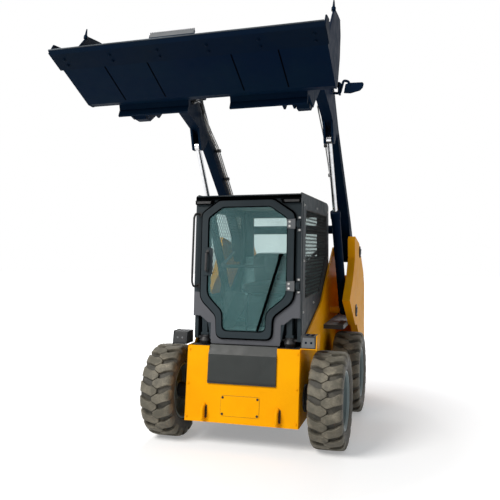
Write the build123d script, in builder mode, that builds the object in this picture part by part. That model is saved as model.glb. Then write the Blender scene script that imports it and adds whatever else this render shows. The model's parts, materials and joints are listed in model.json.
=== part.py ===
"""Skid steer loader: wheels, frame, engine, cab, lift arms, cylinders and bucket.

Millimetres, +Z up, the machine faces -Y and its left side is +X. The origin is on the ground, at the
middle of the whole machine's outline seen from above. Side views are given as points (behind, height):
how far behind the front axle and how high above the ground a point lies.
"""

import os
from math import cos, pi, radians, sin

from build123d import *

# ---------------------------------------------------------------- driving dimensions

# Wheels and axles
tyre_radius = 388
tyre_width = 270
rim_seat_radius = 221
rim_flange_radius = 236
rim_width = 236
track = 1376
wheelbase = 1200
spindle_radius = 45
bearing_gap = 0.05
seat_gap = 0.3

# Frame
front_axle_y = -380
frame_half_width = 475
side_plate = 15
plate_half_width = frame_half_width - 5
front_plate_thickness = 12
plate_foot = (-264, 205)
plate_top = (-173, 805)
belly_height = 205
tower_inner = 665
tower_outer = 735
tail_behind = 2270

# Lift arms
arm_inner = 565
arm_outer = 655
arm_pivot = (1760, 1560)
arm_pin_radius = 30
bucket_pin_radius = 22
neck_pin = (300, 2980)

# Cylinders
lift_base = (1380, 970)
lift_eye = (430, 2550)
lift_barrel_radius = 42
lift_rod_radius = 22
tilt_x = 511
tilt_barrel_radius = 36
tilt_rod_radius = 18
eye_bore = 20

# Hinges of the cab door, the rear door and the hood
hinge_pin_radius = 7
hinge_ear_radius = 14
hinge_half = 20
ear_thickness = 10

# Cab
cab_clearance = 5
cab_half_width = frame_half_width - side_plate - cab_clearance
cab_foot = (-107, 850)
cab_brow = (-8, 2010)
cab_roof_height = 2050
cab_rear_behind = 1405
cab_wall = 30

# Bucket, in its own side view: forward of the heel and up from the floor
bucket_half_width = 875
bucket_heel = (-995, 2588)
bucket_rollback = 27.1
floor_length = 608
side_thickness = 12
sheet = 8
pin_behind = 220
pin_up = 150
ear_ahead = 40
ear_up = 200

axle_height = tyre_radius
wheel_x = track / 2
pieces = {}


# ---------------------------------------------------------------- helpers

def at(point):
    """Side view point as (Y, Z) in the machine's frame."""
    return (front_axle_y + point[0], point[1])


def in_bucket(forward, up):
    """Side view point of a place in the bucket, which is rolled back by bucket_rollback."""
    tip = radians(bucket_rollback)
    behind = bucket_heel[0] - forward * cos(tip) + up * sin(tip)
    return (behind, bucket_heel[1] + forward * sin(tip) + up * cos(tip))


def slab(outline, inner, outer, inset=0, mode=Mode.ADD):
    """Flat piece between two distances from the middle, with this outline in side view."""
    with BuildSketch(Plane.YZ.offset(inner)) as profile:
        with BuildLine():
            Polyline([at(point) for point in outline], close=True)
        make_face()
        if inset:
            offset(amount=-inset, kind=Kind.INTERSECTION, mode=Mode.REPLACE)
    extrude(profile.sketch, amount=outer - inner, mode=mode)


def disc(centre, radius, inner, outer, mode=Mode.ADD):
    """Round piece or hole across the machine, between two distances from the middle."""
    with BuildSketch(Plane.YZ.offset(inner)) as circle:
        with Locations(at(centre)):
            Circle(radius)
    extrude(circle.sketch, amount=outer - inner, mode=mode)


def block(across, behind, height, mode=Mode.ADD):
    """Box between two values across, behind the front axle and above the ground."""
    size = (across[1] - across[0], behind[1] - behind[0], height[1] - height[0])
    middle = (sum(across) / 2, front_axle_y + sum(behind) / 2, sum(height) / 2)
    with Locations(middle):
        Box(*size, mode=mode)


def front_prism(outline, rounding=0, inset=0, mode=Mode.ADD):
    """Column along Y whose outline is seen from the front, as (x, height) points."""
    with BuildSketch(Plane.XZ) as profile:
        with BuildLine():
            Polyline(outline, close=True)
        make_face()
        if rounding:
            fillet(profile.vertices(), rounding)
        if inset:
            offset(amount=-inset, kind=Kind.INTERSECTION, mode=Mode.REPLACE)
    extrude(profile.sketch, amount=1000, both=True, mode=mode)


def along(base, tip, x):
    """Plane at base whose normal points to tip, both in side view, at this distance across."""
    start = Vector(x, *at(base))
    return Plane(origin=start, x_dir=(1, 0, 0), z_dir=Vector(x, *at(tip)) - start)


def shaft(plane, start, end, radius, mode=Mode.ADD):
    """Round bar along a plane's normal, from start to end."""
    with BuildSketch(plane.offset(start)) as circle:
        Circle(radius)
    extrude(circle.sketch, amount=end - start, mode=mode)


def hinge_pin(plane, reach):
    """Hinge pin between two ears that stand on the fixed side, reach away along the plane's +y."""
    shaft(plane, -hinge_half - ear_thickness, hinge_half + ear_thickness, hinge_pin_radius)
    for start in (-hinge_half - ear_thickness, hinge_half):
        with BuildSketch(plane.offset(start)) as ear:
            Circle(hinge_ear_radius)
            with Locations((0, reach / 2)):
                Rectangle(2 * hinge_ear_radius, reach)
        extrude(ear.sketch, amount=ear_thickness)


def hinge_strap(plane, reach):
    """Strap round a hinge pin, on the moving side, reach away along the plane's -x."""
    with BuildSketch(plane.offset(0.5 - hinge_half)) as strap:
        Circle(hinge_ear_radius)
        with Locations((-reach / 2, 0)):
            Rectangle(reach, 2 * hinge_ear_radius - 10)
        Circle(hinge_pin_radius + bearing_gap, mode=Mode.SUBTRACT)
    extrude(strap.sketch, amount=2 * hinge_half - 1)


def span(base, tip):
    """Distance between two side view points."""
    return (Vector(*tip) - Vector(*base)).length


def keep(name, piece):
    """Finish a piece: one node, one STEP file."""
    piece.part.label = name
    pieces[name] = piece


def keep_pair(name, left):
    """Keep a left piece and its mirror image on the right."""
    keep(name + "_left", left)
    with BuildPart() as right:
        mirror(left.part, about=Plane.YZ)
    keep(name + "_right", right)


def plate_behind(height):
    """How far behind the front axle the leaning front plate's face is at this height."""
    rise = (height - plate_foot[1]) / (plate_top[1] - plate_foot[1])
    return plate_foot[0] + rise * (plate_top[0] - plate_foot[0])


def cab_behind(height):
    """How far behind the front axle the cab's leaning front face is at this height."""
    rise = (height - cab_foot[1]) / (cab_brow[1] - cab_foot[1])
    return cab_foot[0] + rise * (cab_brow[0] - cab_foot[0])


# ---------------------------------------------------------------- wheels and axles

hub_inner = -65
hub_outer = 40
hub_bore_end = 22
flange_lip = 10
seat_half = rim_width / 2 - 14

lug_pairs = 14
bore_slack = 1.2
bead_radius = rim_flange_radius + bore_slack + seat_gap
bore_radius = rim_seat_radius + bore_slack + seat_gap

# Half of the tyre's section, from the tread's middle to the bore. Columns: distance from the wheel's
# middle plane, radius between the lugs, radius on the lugs, how far the lugs have turned in pitches.
tyre_rings = [
    (9, 362, tyre_radius, 0.0),
    (98, 362, tyre_radius, 0.24),
    (tyre_width / 2 - 4, 338, 374, 0.34),
    (tyre_width / 2, 312, 312, 0.34),
    (seat_half + 3, bead_radius, bead_radius, 0.34),
    (seat_half - 1, bore_radius, bore_radius, 0.34),
]
# Columns: distance from the wheel's middle plane, radius.
rim_section = [
    (rim_width / 2, rim_flange_radius),
    (rim_width / 2 - flange_lip, rim_flange_radius),
    (seat_half, rim_seat_radius),
    (-seat_half, rim_seat_radius),
    (flange_lip - rim_width / 2, rim_flange_radius),
    (-rim_width / 2, rim_flange_radius),
    (-rim_width / 2, rim_flange_radius - 10),
    (-seat_half + 4, rim_seat_radius - 10),
    (-8, rim_seat_radius - 12),
    (-24, 150),
    (-24, 80),
    (hub_inner, 80),
    (hub_inner, spindle_radius + bearing_gap),
    (hub_bore_end, spindle_radius + bearing_gap),
    (hub_bore_end, 0),
    (hub_outer, 0),
    (hub_outer, 60),
    (30, 80),
    (-12, 84),
    (-12, 150),
    (8, rim_seat_radius - 12),
    (seat_half - 4, rim_seat_radius - 10),
    (rim_width / 2, rim_flange_radius - 10),
]

# Columns: name, side, distance behind the front axle.
wheels = [
    ("front_left", 1, 0),
    ("front_right", -1, 0),
    ("rear_left", 1, wheelbase),
    ("rear_right", -1, wheelbase),
]



def tyre_ring(across, groove, lug, turn, phase):
    """Points round a tyre where it is cut across: four to a lug pitch, the middle two on the lug."""
    pitch = 2 * pi / lug_pairs
    radii = (groove, lug, lug, groove) if phase == 0 else (lug, groove, groove, lug)
    ring = []
    for pair in range(lug_pairs):
        for offset_in_pitch, radius in zip((-0.28, -0.22, 0.22, 0.28), radii):
            turned = pitch * (pair + offset_in_pitch + turn)
            ring.append((across, radius * cos(turned), radius * sin(turned)))
    return ring


def tyre_body(side, centre):
    """Tyre with two rows of slanted lugs, half a pitch apart, made of flat facets."""
    rings = [tyre_ring(-across, *row, 0) for across, *row in reversed(tyre_rings)]
    rings.append(tyre_ring(0, 362, 362, 0, 0))
    rings += [tyre_ring(across, *row, 1) for across, *row in tyre_rings]
    points = [[Vector(centre) + Vector(side * x, y, z) for x, y, z in ring] for ring in rings]
    facets = []
    for near, far in zip(points, points[1:] + points[:1]):
        for here in range(len(near)):
            there = (here + 1) % len(near)
            for corners in ((near[here], near[there], far[there]), (near[here], far[there], far[here])):
                facets.append(Face(Wire.make_polygon(corners)))
    return Solid(Shell(facets))


for corner, side, behind in wheels:
    hub_centre = (side * wheel_x, front_axle_y + behind, axle_height)
    wheel_plane = Plane(origin=hub_centre, x_dir=(side, 0, 0), z_dir=(0, -side, 0))
    wheel_axis = Axis(hub_centre, (side, 0, 0))

    with BuildPart() as tyre:
        add(tyre_body(side, hub_centre))
    keep("tyre_" + corner, tyre)

    with BuildPart() as rim:
        with BuildSketch(wheel_plane):
            with BuildLine():
                Polyline(rim_section, close=True)
            make_face()
        revolve(axis=wheel_axis)
    keep("rim_" + corner, rim)

axle_tube_end = wheel_x + hub_inner - 4
with BuildPart() as axle_tubes:
    for corner, side, behind in wheels:
        outward = Plane(
            origin=(side * frame_half_width, front_axle_y + behind, axle_height),
            x_dir=(0, 1, 0),
            z_dir=(side, 0, 0),
        )
        shaft(outward, 0, 15, 110)
        shaft(outward, 15, axle_tube_end - frame_half_width, 62)
        shaft(outward, axle_tube_end - frame_half_width, wheel_x + 16 - frame_half_width, spindle_radius)
keep("axle_tubes", axle_tubes)


# ---------------------------------------------------------------- frame

side_inner = frame_half_width - side_plate
plate_back = front_plate_thickness
frame_outline = [
    (plate_behind(belly_height) + plate_back, belly_height),
    (plate_behind(805) + plate_back, 805),
    (-20, 805),
    (40, 865),
    (850, 1100),
    (1330, 1420),
    (1640, 1610),
    (1840, 1620),
    (1980, 1500),
    (2150, 1330),
    (2200, 1200),
    (2200, 430),
    (1900, belly_height),
]
with BuildPart() as frame_side:
    slab(frame_outline, side_inner, frame_half_width)
keep_pair("frame_side", frame_side)

with BuildPart() as belly_pan:
    slab(
        [
            (plate_behind(belly_height) + plate_back, belly_height),
            (plate_behind(belly_height + 10) + plate_back, belly_height + 10),
            (1895, belly_height + 10),
            (2200, 440),
            (2200, 430),
            (1900, belly_height),
        ],
        -side_inner,
        side_inner,
    )
keep("belly_pan", belly_pan)

step_half = 285
step_foot = 512
tow_bore = 13
with BuildPart() as front_plate:
    slab(
        [
            plate_foot,
            plate_top,
            (plate_top[0] + front_plate_thickness, plate_top[1]),
            (plate_foot[0] + front_plate_thickness, plate_foot[1]),
        ],
        -plate_half_width,
        plate_half_width,
    )
    block((-step_half, step_half), (-400, 0), (step_foot, 900), mode=Mode.SUBTRACT)
    for side in (-1, 1):
        lug_x = side * 305
        slab([(-300, 244), (-296, 294), (plate_behind(335) + 1, 335), (plate_behind(215) + 1, 215)],
             lug_x - 8, lug_x + 8)
        disc((-288, 268), 26, lug_x - 8, lug_x + 8)
        disc((-288, 268), tow_bore, lug_x - 8, lug_x + 8, mode=Mode.SUBTRACT)
keep("front_plate", front_plate)

panel_proud = 14
panel_bend = 742
panel_top = 812
with BuildPart() as step_panel:
    slab(
        [
            (plate_behind(step_foot) - panel_proud, step_foot + seat_gap),
            (plate_behind(panel_bend) - panel_proud, panel_bend),
            (plate_behind(panel_top) + 22, panel_top),
            (plate_behind(panel_top) + 60, panel_top),
            (plate_behind(panel_top) + 60, panel_top - 10),
            (plate_behind(panel_bend) + 6, panel_bend - 4),
            (plate_behind(step_foot) + 6, step_foot + seat_gap),
        ],
        seat_gap - step_half,
        step_half - seat_gap,
    )
keep("step_panel", step_panel)

mount_height = 50
deck_height = cab_foot[1] - mount_height
with BuildPart() as front_deck:
    block((-side_inner, side_inner), (-90, 60), (deck_height - 8, deck_height))
    block((-side_inner, side_inner), (-98, -90), (560, deck_height))
keep("front_deck", front_deck)

with BuildPart() as cab_mounts:
    block((-side_inner, side_inner), (890, 950), (deck_height - 30, deck_height))
    for mount_x in (-360, 360):
        for behind in (10, 920):
            with Locations((mount_x, front_axle_y + behind, (deck_height + cab_foot[1]) / 2)):
                Cylinder(38, mount_height)
keep("cab_mounts", cab_mounts)

with BuildPart() as step_box:
    step_seat = deck_height + 12
    block((side_inner - 2, 605), (-190, -30), (step_seat, step_seat + 103))
    block((frame_half_width, 560), (-150, -60), (deck_height - 10, step_seat))
keep_pair("step_box", step_box)


# ---------------------------------------------------------------- towers

shelf = (830, 870)
tower_outline = [
    (870, 1107),
    (1180, 1330),
    (1320, 1500),
    (1310, 1690),
    (1345, 1720),
    (1730, 1650),
    (2170, 1330),
    (tail_behind, 1190),
    (tail_behind, 430),
    (1740, 430),
    (1700, 560),
    (1620, 720),
    (1480, 820),
    (1330, shelf[0]),
]
tower_wall = 8
with BuildPart() as tower:
    slab(tower_outline, tower_inner, tower_outer)
    slab(tower_outline, tower_inner, tower_outer - tower_wall, inset=tower_wall, mode=Mode.SUBTRACT)
    disc(arm_pivot, arm_pin_radius, frame_half_width, tower_outer)
    disc(arm_pivot, 52, frame_half_width, arm_inner - 6)
    disc(arm_pivot, 52, arm_outer + 6, tower_outer)
    disc(lift_base, eye_bore, frame_half_width, tower_outer)
    disc(lift_base, 34, frame_half_width, 575)
    disc(lift_base, 34, 645, tower_outer)
keep_pair("tower", tower)

# Sheet between the frame and a tower: over the rear wheel, up the tail and under the tail.
tower_rear = (2200, 2215)
with BuildPart() as fender:
    block((frame_half_width, tower_inner), (950, tower_rear[0]), shelf)
keep_pair("fender", fender)

with BuildPart() as tail_box:
    block((frame_half_width, tower_inner), tower_rear, (430, 1290))
    block((frame_half_width, tower_inner), (1745, tower_rear[0]), (430, 445))
keep_pair("tail_box", tail_box)

tail_wall = (2200, 2215)
door_half = 392
door_sill = 560
door_head = 1240
rear_hinge_x = door_half + 18
rear_hinge_behind = 2242
rear_hinges = [
    Plane(
        origin=(rear_hinge_x, front_axle_y + rear_hinge_behind, height),
        x_dir=(1, 0, 0),
        z_dir=(0, 0, -1),
    )
    for height in (720, 1080)
]
with BuildPart() as tail_frame:
    block((-side_inner, side_inner), tail_wall, (430, 1330))
    block((-door_half + 8, door_half - 8), tail_wall, (door_sill + 8, door_head - 8), mode=Mode.SUBTRACT)
    for hinge_plane in rear_hinges:
        hinge_pin(hinge_plane, rear_hinge_behind - tail_wall[1])
keep("tail_frame", tail_frame)

bumper_thickness = 20
drawbar_reach = 50
drawbar_thickness = 20
with BuildPart() as bumper:
    block((-tower_outer, tower_outer), (tail_behind, tail_behind + bumper_thickness), (430, 540))
    drawbar_start = tail_behind + bumper_thickness
    block((-45, 45), (drawbar_start - 5, drawbar_start + drawbar_reach), (475, 475 + drawbar_thickness))
    with Locations((0, front_axle_y + drawbar_start + drawbar_reach / 2, 475 + drawbar_thickness / 2)):
        Cylinder(tow_bore, 2 * drawbar_thickness, mode=Mode.SUBTRACT)
keep("bumper", bumper)

louvre_half = 290
louvre_rows = 8
louvre_foot = 800
louvre_pitch = 48
with BuildPart() as rear_door:
    block((-door_half, door_half), (2222, 2262), (door_sill + 6, door_head - 6))
    block((-door_half + 20, door_half - 20), (2215, 2250), (door_sill + 30, door_head - 30),
          mode=Mode.SUBTRACT)
    for row in range(louvre_rows):
        slot_foot = louvre_foot + row * louvre_pitch
        block((-louvre_half, louvre_half), (2240, 2270), (slot_foot, slot_foot + 18), mode=Mode.SUBTRACT)
    for hinge_plane in rear_hinges:
        hinge_strap(hinge_plane, 30)
keep("rear_door", rear_door)

firewall = (1415, 1430)
hood_hinge = (1452, 1385)
with BuildPart() as bulkhead:
    block((-side_inner, side_inner), firewall, (belly_height + 10, hood_hinge[1] - 7))
    for hinge_x in (-300, 300):
        ears = Plane(
            origin=(hinge_x, front_axle_y + hood_hinge[0], hood_hinge[1]),
            x_dir=(0, 0, -1),
            z_dir=(1, 0, 0),
        )
        hinge_pin(ears, firewall[1] - hood_hinge[0])
    block((-345, 345), (firewall[1], hood_hinge[0] - 9), (hood_hinge[1], hood_hinge[1] + 20),
          mode=Mode.SUBTRACT)
keep("bulkhead", bulkhead)

with BuildPart() as hood:
    slab(
        [
            (1446, 1430),
            (1446, 1402),
            (1470, 1402),
            (2215, 1330 + seat_gap),
            (2215, 1345),
            (2190, 1365),
        ],
        10 - side_inner,
        side_inner - 10,
    )
    for hinge_x in (-300, 300):
        strap_plane = Plane(
            origin=(hinge_x, front_axle_y + hood_hinge[0], hood_hinge[1]),
            x_dir=(0, 0, -1),
            z_dir=(1, 0, 0),
        )
        hinge_strap(strap_plane, 25)
keep("hood", hood)

with BuildPart() as engine:
    block((-240, 240), (1500, 2050), (450, 1050))
    for side in (-1, 1):
        block((side * 240 - 30, side * 240 + 30), (1600, 1850), (belly_height + 10, 450))
keep("engine", engine)


# ---------------------------------------------------------------- lift arms

bucket_pin = in_bucket(-pin_behind, pin_up)
arm_outline = [
    (1650, 1500),
    (1580, 1720),
    (1450, 1892),
    (590, 2630),
    (340, 2700),
    (120, 2775),
    (-120, 2845),
    (-300, 2800),
    (-450, 2705),
    (bucket_pin[0] + 40, bucket_pin[1] - 62),
    (bucket_pin[0] - 30, bucket_pin[1] - 58),
    (bucket_pin[0] - 62, bucket_pin[1]),
    (bucket_pin[0] - 35, bucket_pin[1] + 55),
    (-450, 2835),
    (-150, 3000),
    (150, 3045),
    (330, 3045),
    (450, 2965),
    (700, 2688),
    (1640, 1882),
    (1830, 1690),
    (1880, 1560),
    (1830, 1470),
    (1730, 1450),
]
with BuildPart() as arm:
    slab(arm_outline, arm_inner, arm_outer)
    for lug_inner in (arm_inner, arm_outer - 18):
        slab([(340, 2705), (385, 2560), (400, 2512), (460, 2512), (520, 2560), (600, 2640)],
             lug_inner, lug_inner + 18)
    disc(neck_pin, 42, tilt_x + tilt_barrel_radius + 2, arm_inner)
    disc(neck_pin, 30, tilt_x + 22, arm_inner)
    disc(neck_pin, eye_bore, tilt_x - 26, arm_inner)
    disc(arm_pivot, arm_pin_radius + bearing_gap, arm_inner, arm_outer, mode=Mode.SUBTRACT)
    disc(bucket_pin, bucket_pin_radius + bearing_gap, arm_inner, arm_outer, mode=Mode.SUBTRACT)
keep_pair("arm", arm)

cross_tube_place = (1640, 1800)
with BuildPart() as cross_tube:
    disc(cross_tube_place, 45, -arm_inner, arm_inner)
keep("cross_tube", cross_tube)


# ---------------------------------------------------------------- cylinders

lift_x = (arm_inner + arm_outer) / 2
lift_length = span(lift_base, lift_eye)
lift_barrel_length = 1125
lift_line = along(lift_base, lift_eye, lift_x)
with BuildPart() as lift_barrel:
    shaft(lift_line, 40, lift_barrel_length, lift_barrel_radius)
    shaft(lift_line, lift_barrel_length - 60, lift_barrel_length, lift_barrel_radius + 4)
    disc(lift_base, 46, lift_x - 28, lift_x + 28)
    shaft(lift_line, 90, lift_barrel_length, lift_rod_radius + bearing_gap, mode=Mode.SUBTRACT)
    disc(lift_base, eye_bore + bearing_gap, lift_x - 28, lift_x + 28, mode=Mode.SUBTRACT)
keep_pair("lift_barrel", lift_barrel)

with BuildPart() as lift_rod:
    shaft(lift_line, lift_barrel_length - 80, lift_length - 30, lift_rod_radius)
    disc(lift_eye, 38, lift_x - 20, lift_x + 20)
    disc(lift_eye, eye_bore, lift_x - 20, lift_x + 20, mode=Mode.SUBTRACT)
keep_pair("lift_rod", lift_rod)

tilt_eye = in_bucket(ear_ahead - pin_behind, pin_up + ear_up)
tilt_length = span(neck_pin, tilt_eye)
tilt_barrel_length = 800
tilt_stroke_out = 170
tilt_line = along(neck_pin, tilt_eye, tilt_x)
with BuildPart() as tilt_barrel:
    shaft(tilt_line, 36, tilt_barrel_length, tilt_barrel_radius)
    disc(neck_pin, 40, tilt_x - 20, tilt_x + 20)
    shaft(tilt_line, 75, tilt_barrel_length, tilt_rod_radius + bearing_gap, mode=Mode.SUBTRACT)
    disc(neck_pin, eye_bore + bearing_gap, tilt_x - 20, tilt_x + 20, mode=Mode.SUBTRACT)
keep_pair("tilt_barrel", tilt_barrel)

with BuildPart() as tilt_rod:
    shaft(tilt_line, tilt_barrel_length - tilt_stroke_out - 60, tilt_length - 25, tilt_rod_radius)
    disc(tilt_eye, 33, tilt_x - 18, tilt_x + 18)
    disc(tilt_eye, eye_bore, tilt_x - 18, tilt_x + 18, mode=Mode.SUBTRACT)
keep_pair("tilt_rod", tilt_rod)

# ---------------------------------------------------------------- bucket and coupler

pad = -30
coupler_plate = pad - 15
with BuildPart() as coupler:
    frame_points = [(coupler_plate, -30), (pad, -30), (pad, 430), (coupler_plate, 430)]
    slab([in_bucket(*point) for point in frame_points], 150, 680)
    ear_points = [
        (coupler_plate, 60),
        (coupler_plate, 400),
        (coupler_plate - 90, 400),
        (ear_ahead - pin_behind - 40, pin_up + ear_up + 20),
        (-pin_behind - 45, pin_up + 10),
        (-pin_behind - 20, pin_up - 48),
    ]
    for ear_inner in (470, 540, 665):
        slab([in_bucket(*point) for point in ear_points], ear_inner, ear_inner + 14)
    disc(bucket_pin, bucket_pin_radius, 540, 679)
keep_pair("coupler", coupler)

bowl = [
    (floor_length - 90, sheet / 2),
    (75, sheet / 2),
    (20, 30),
    (0, 90),
    (0, 300),
    (40, 460),
    (100, 530),
]
side_outline = [
    (16, 24),
    (70, 0),
    (455, 0),
    (440, 25),
    (306, 411),
    (170, 495),
    (96, 534),
    (36, 462),
    (-4, 300),
    (-4, 90),
]
with BuildPart() as bucket_shell:
    with BuildSketch(Plane.YZ.offset(-bucket_half_width)):
        with BuildLine():
            Polyline([at(in_bucket(*point)) for point in bowl])
        trace(line_width=sheet)
    extrude(amount=2 * bucket_half_width)
    for inner in (-bucket_half_width, bucket_half_width - side_thickness):
        slab([in_bucket(*point) for point in side_outline], inner, inner + side_thickness)
    for inner in (-680, 150):
        pad_points = [(pad, 20), (2, 60), (2, 380), (pad, 400)]
        slab([in_bucket(*point) for point in pad_points], inner, inner + 530)
keep("bucket_shell", bucket_shell)

with BuildPart() as cutting_edge:
    edge_points = [(floor_length - 170, 0), (floor_length - 170, -18), (floor_length - 30, -18), (floor_length, 0)]
    slab([in_bucket(*point) for point in edge_points], -bucket_half_width - 5, bucket_half_width + 5)
keep("cutting_edge", cutting_edge)

with BuildPart() as bucket_step:
    step_points = [(97.2, 532.9), (103.3, 527.7), (106, 584), (98, 584)]
    slab([in_bucket(*point) for point in step_points], -510, -157)
keep("bucket_step", bucket_step)

with BuildPart() as hose_bracket:
    block((arm_outer, 700), (340, 420), (2930, 2942))
    slab([(340, 2925), (440, 2925), (440, 3020), (340, 3020)], 700, 712)
    block((712, 915), (380, 392), (2925, 3045))
keep("hose_bracket", hose_bracket)


# ---------------------------------------------------------------- cab

# Seen from the front, as (x, height): the door leaf, its window and the doorway behind it.
door_leaf = [
    (-235, 872),
    (220, 872),
    (220, 980),
    (400, 1225),
    (400, 1880),
    (225, 2000),
    (-235, 2000),
    (-385, 1895),
    (-385, 1225),
    (-235, 980),
]
door_window = [
    (-190, 930),
    (175, 930),
    (175, 1010),
    (335, 1240),
    (335, 1845),
    (195, 1945),
    (-205, 1945),
    (-325, 1855),
    (-325, 1240),
    (-190, 1010),
]
leaf_rounding = 38
window_rounding = 30
post = 40
door_gap = 6
door_thickness = 30
lean = (cab_brow[0] - cab_foot[0]) / (cab_brow[1] - cab_foot[1])


def leaning(front, back):
    """Slab that leans like the cab's front, between two distances ahead of its face."""
    slab(
        [
            (cab_foot[0] - front, cab_foot[1]),
            (cab_brow[0] - front, cab_brow[1]),
            (cab_brow[0] - back, cab_brow[1]),
            (cab_foot[0] - back, cab_foot[1]),
        ],
        -cab_half_width,
        cab_half_width,
    )


cab_hinge_x = 432
cab_hinge_ahead = door_gap + door_thickness / 2
cab_hinges = [
    Plane(
        origin=(cab_hinge_x, front_axle_y + cab_behind(height) - cab_hinge_ahead, height),
        x_dir=(1, 0, 0),
        z_dir=(0, lean, 1),
    )
    for height in (1300, 1800)
]
# Corner cut out of the cab's foot on each side, over the rubber mount.
niche = [(300, 840), (500, 840), (500, 1040), (395, 1040), (325, 985)]
niche_floor = 866 + seat_gap
niche_outer = cab_half_width - cab_wall - seat_gap
# The niche's back, inner wall, top and the bracket on the mount. Columns: across, behind, height.
niche_lining = [
    ((294, niche_outer), (60, 66), (niche_floor, 1046)),
    ((294, 300), (-80, 66), (niche_floor, 1046)),
    ((294, niche_outer), (-80, 66), (1040, 1046)),
    ((340, 385), (-70, 66), (900, 1046)),
    ((330, 395), (-70, 66), (880, 900)),
]
lamp_height = 34
lamp_depth = 24
lamp_inner = 300
lamp_head = cab_brow[1] - 2
lamp_foot = lamp_head - lamp_height
with BuildPart() as cab_front:
    leaning(0, -post)
    front_prism(door_window, window_rounding, mode=Mode.SUBTRACT)
    for side in (-1, 1):
        front_prism([(side * x, height) for x, height in niche], mode=Mode.SUBTRACT)
        for across, behind, height in niche_lining:
            block((min(side * across[0], side * across[1]), max(side * across[0], side * across[1])),
                  behind, height)
        slab(
            [
                (cab_behind(lamp_foot) - lamp_depth, lamp_foot),
                (cab_behind(lamp_head) - lamp_depth - 6, lamp_head),
                (cab_behind(lamp_head) + 2, lamp_head),
                (cab_behind(lamp_foot) + 2, lamp_foot),
            ],
            min(side * lamp_inner, side * cab_half_width),
            max(side * lamp_inner, side * cab_half_width),
        )
    for hinge_plane in cab_hinges:
        hinge_pin(hinge_plane, cab_hinge_ahead + 2)
keep("cab_front", cab_front)

with BuildPart() as cab_door:
    leaning(door_gap + door_thickness, door_gap)
    front_prism(door_leaf, leaf_rounding, mode=Mode.INTERSECT)
    front_prism(door_window, window_rounding, mode=Mode.SUBTRACT)
    for hinge_plane in cab_hinges:
        hinge_strap(hinge_plane, 45)
keep("cab_door", cab_door)

with BuildPart() as door_glass:
    leaning(door_gap + 18, door_gap + 12)
    front_prism(door_window, window_rounding, inset=seat_gap, mode=Mode.INTERSECT)
keep("door_glass", door_glass)

with BuildPart() as cab_roof:
    slab(
        [
            (cab_brow[0] - 12, cab_brow[1]),
            (cab_brow[0] - 8, cab_roof_height - 12),
            (cab_brow[0] + 10, cab_roof_height),
            (cab_rear_behind - 60, cab_roof_height),
            (cab_rear_behind, cab_roof_height - 25),
            (cab_rear_behind, cab_brow[1]),
        ],
        -cab_half_width,
        cab_half_width,
    )
keep("cab_roof", cab_roof)

rear_foot = (1000, 860)
rear_sill = (cab_rear_behind, 1440)
glass = 6
cab_inner = cab_half_width - cab_wall
side_window = [
    (110, 1180),
    (170, 1930),
    (cab_rear_behind - 110, 1930),
    (cab_rear_behind - 110, 1480),
    (900, 1180),
]
with BuildPart() as cab_side:
    slab(
        [
            (cab_foot[0] + post, cab_foot[1]),
            (cab_brow[0] + post, cab_brow[1]),
            (cab_rear_behind, cab_brow[1]),
            rear_sill,
            rear_foot,
            (rear_foot[0], cab_foot[1]),
        ],
        cab_inner,
        cab_half_width,
    )
    slab(side_window, cab_inner, cab_half_width, mode=Mode.SUBTRACT)
keep_pair("cab_side", cab_side)

with BuildPart() as side_glass:
    slab(side_window, cab_inner + 10, cab_inner + 10 + glass, inset=seat_gap)
keep_pair("side_glass", side_glass)

rear_window = ((-340, 340), (1520, 1920))
with BuildPart() as cab_rear:
    slab(
        [
            (cab_rear_behind - 40, cab_brow[1]),
            (cab_rear_behind, cab_brow[1]),
            rear_sill,
            rear_foot,
            (rear_foot[0] - 40, rear_foot[1]),
            (rear_sill[0] - 40, rear_sill[1] + 5),
        ],
        -cab_inner,
        cab_inner,
    )
    block(rear_window[0], (cab_rear_behind - 100, cab_rear_behind + 60), rear_window[1],
          mode=Mode.SUBTRACT)
keep("cab_rear", cab_rear)

with BuildPart() as rear_glass:
    block(
        (rear_window[0][0] + seat_gap, rear_window[0][1] - seat_gap),
        (cab_rear_behind - 20 - glass, cab_rear_behind - 20),
        (rear_window[1][0] + seat_gap, rear_window[1][1] - seat_gap),
    )
keep("rear_glass", rear_glass)

with BuildPart() as cab_floor:
    block((-cab_inner, cab_inner), (cab_foot[0] + post + 10, rear_foot[0] - 40),
          (cab_foot[1], cab_foot[1] + 16))
keep("cab_floor", cab_floor)

with BuildPart() as seat:
    block((-230, 230), (560, 960), (866, 1180))
    slab([(500, 1180), (500, 1280), (900, 1280), (1030, 1830), (1120, 1830), (1000, 1180)], -240, 240)
keep("seat", seat)

with BuildPart() as levers:
    for side in (-1, 1):
        lever_x = side * 330
        block((lever_x - 30, lever_x + 30), (260, 420), (866, 960))
        block((lever_x - 8, lever_x + 8), (320, 336), (960, 1300))
        block((lever_x - 20, lever_x + 20), (300, 360), (1300, 1400))
keep("levers", levers)


# ---------------------------------------------------------------- files

os.makedirs("parts", exist_ok=True)
for name, piece in pieces.items():
    export_step(piece.part, f"parts/{name}.step")
print(len(pieces), "pieces")
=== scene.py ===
"""Looks of the skid steer loader: finishes, tyres, cab fittings, hoses, bolts and small trim.

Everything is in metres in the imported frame: +Z up, the machine faces -Y and its left side is +X.
"""

import json
import math

import bmesh
import bpy
from mathutils import Matrix, Vector


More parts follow.
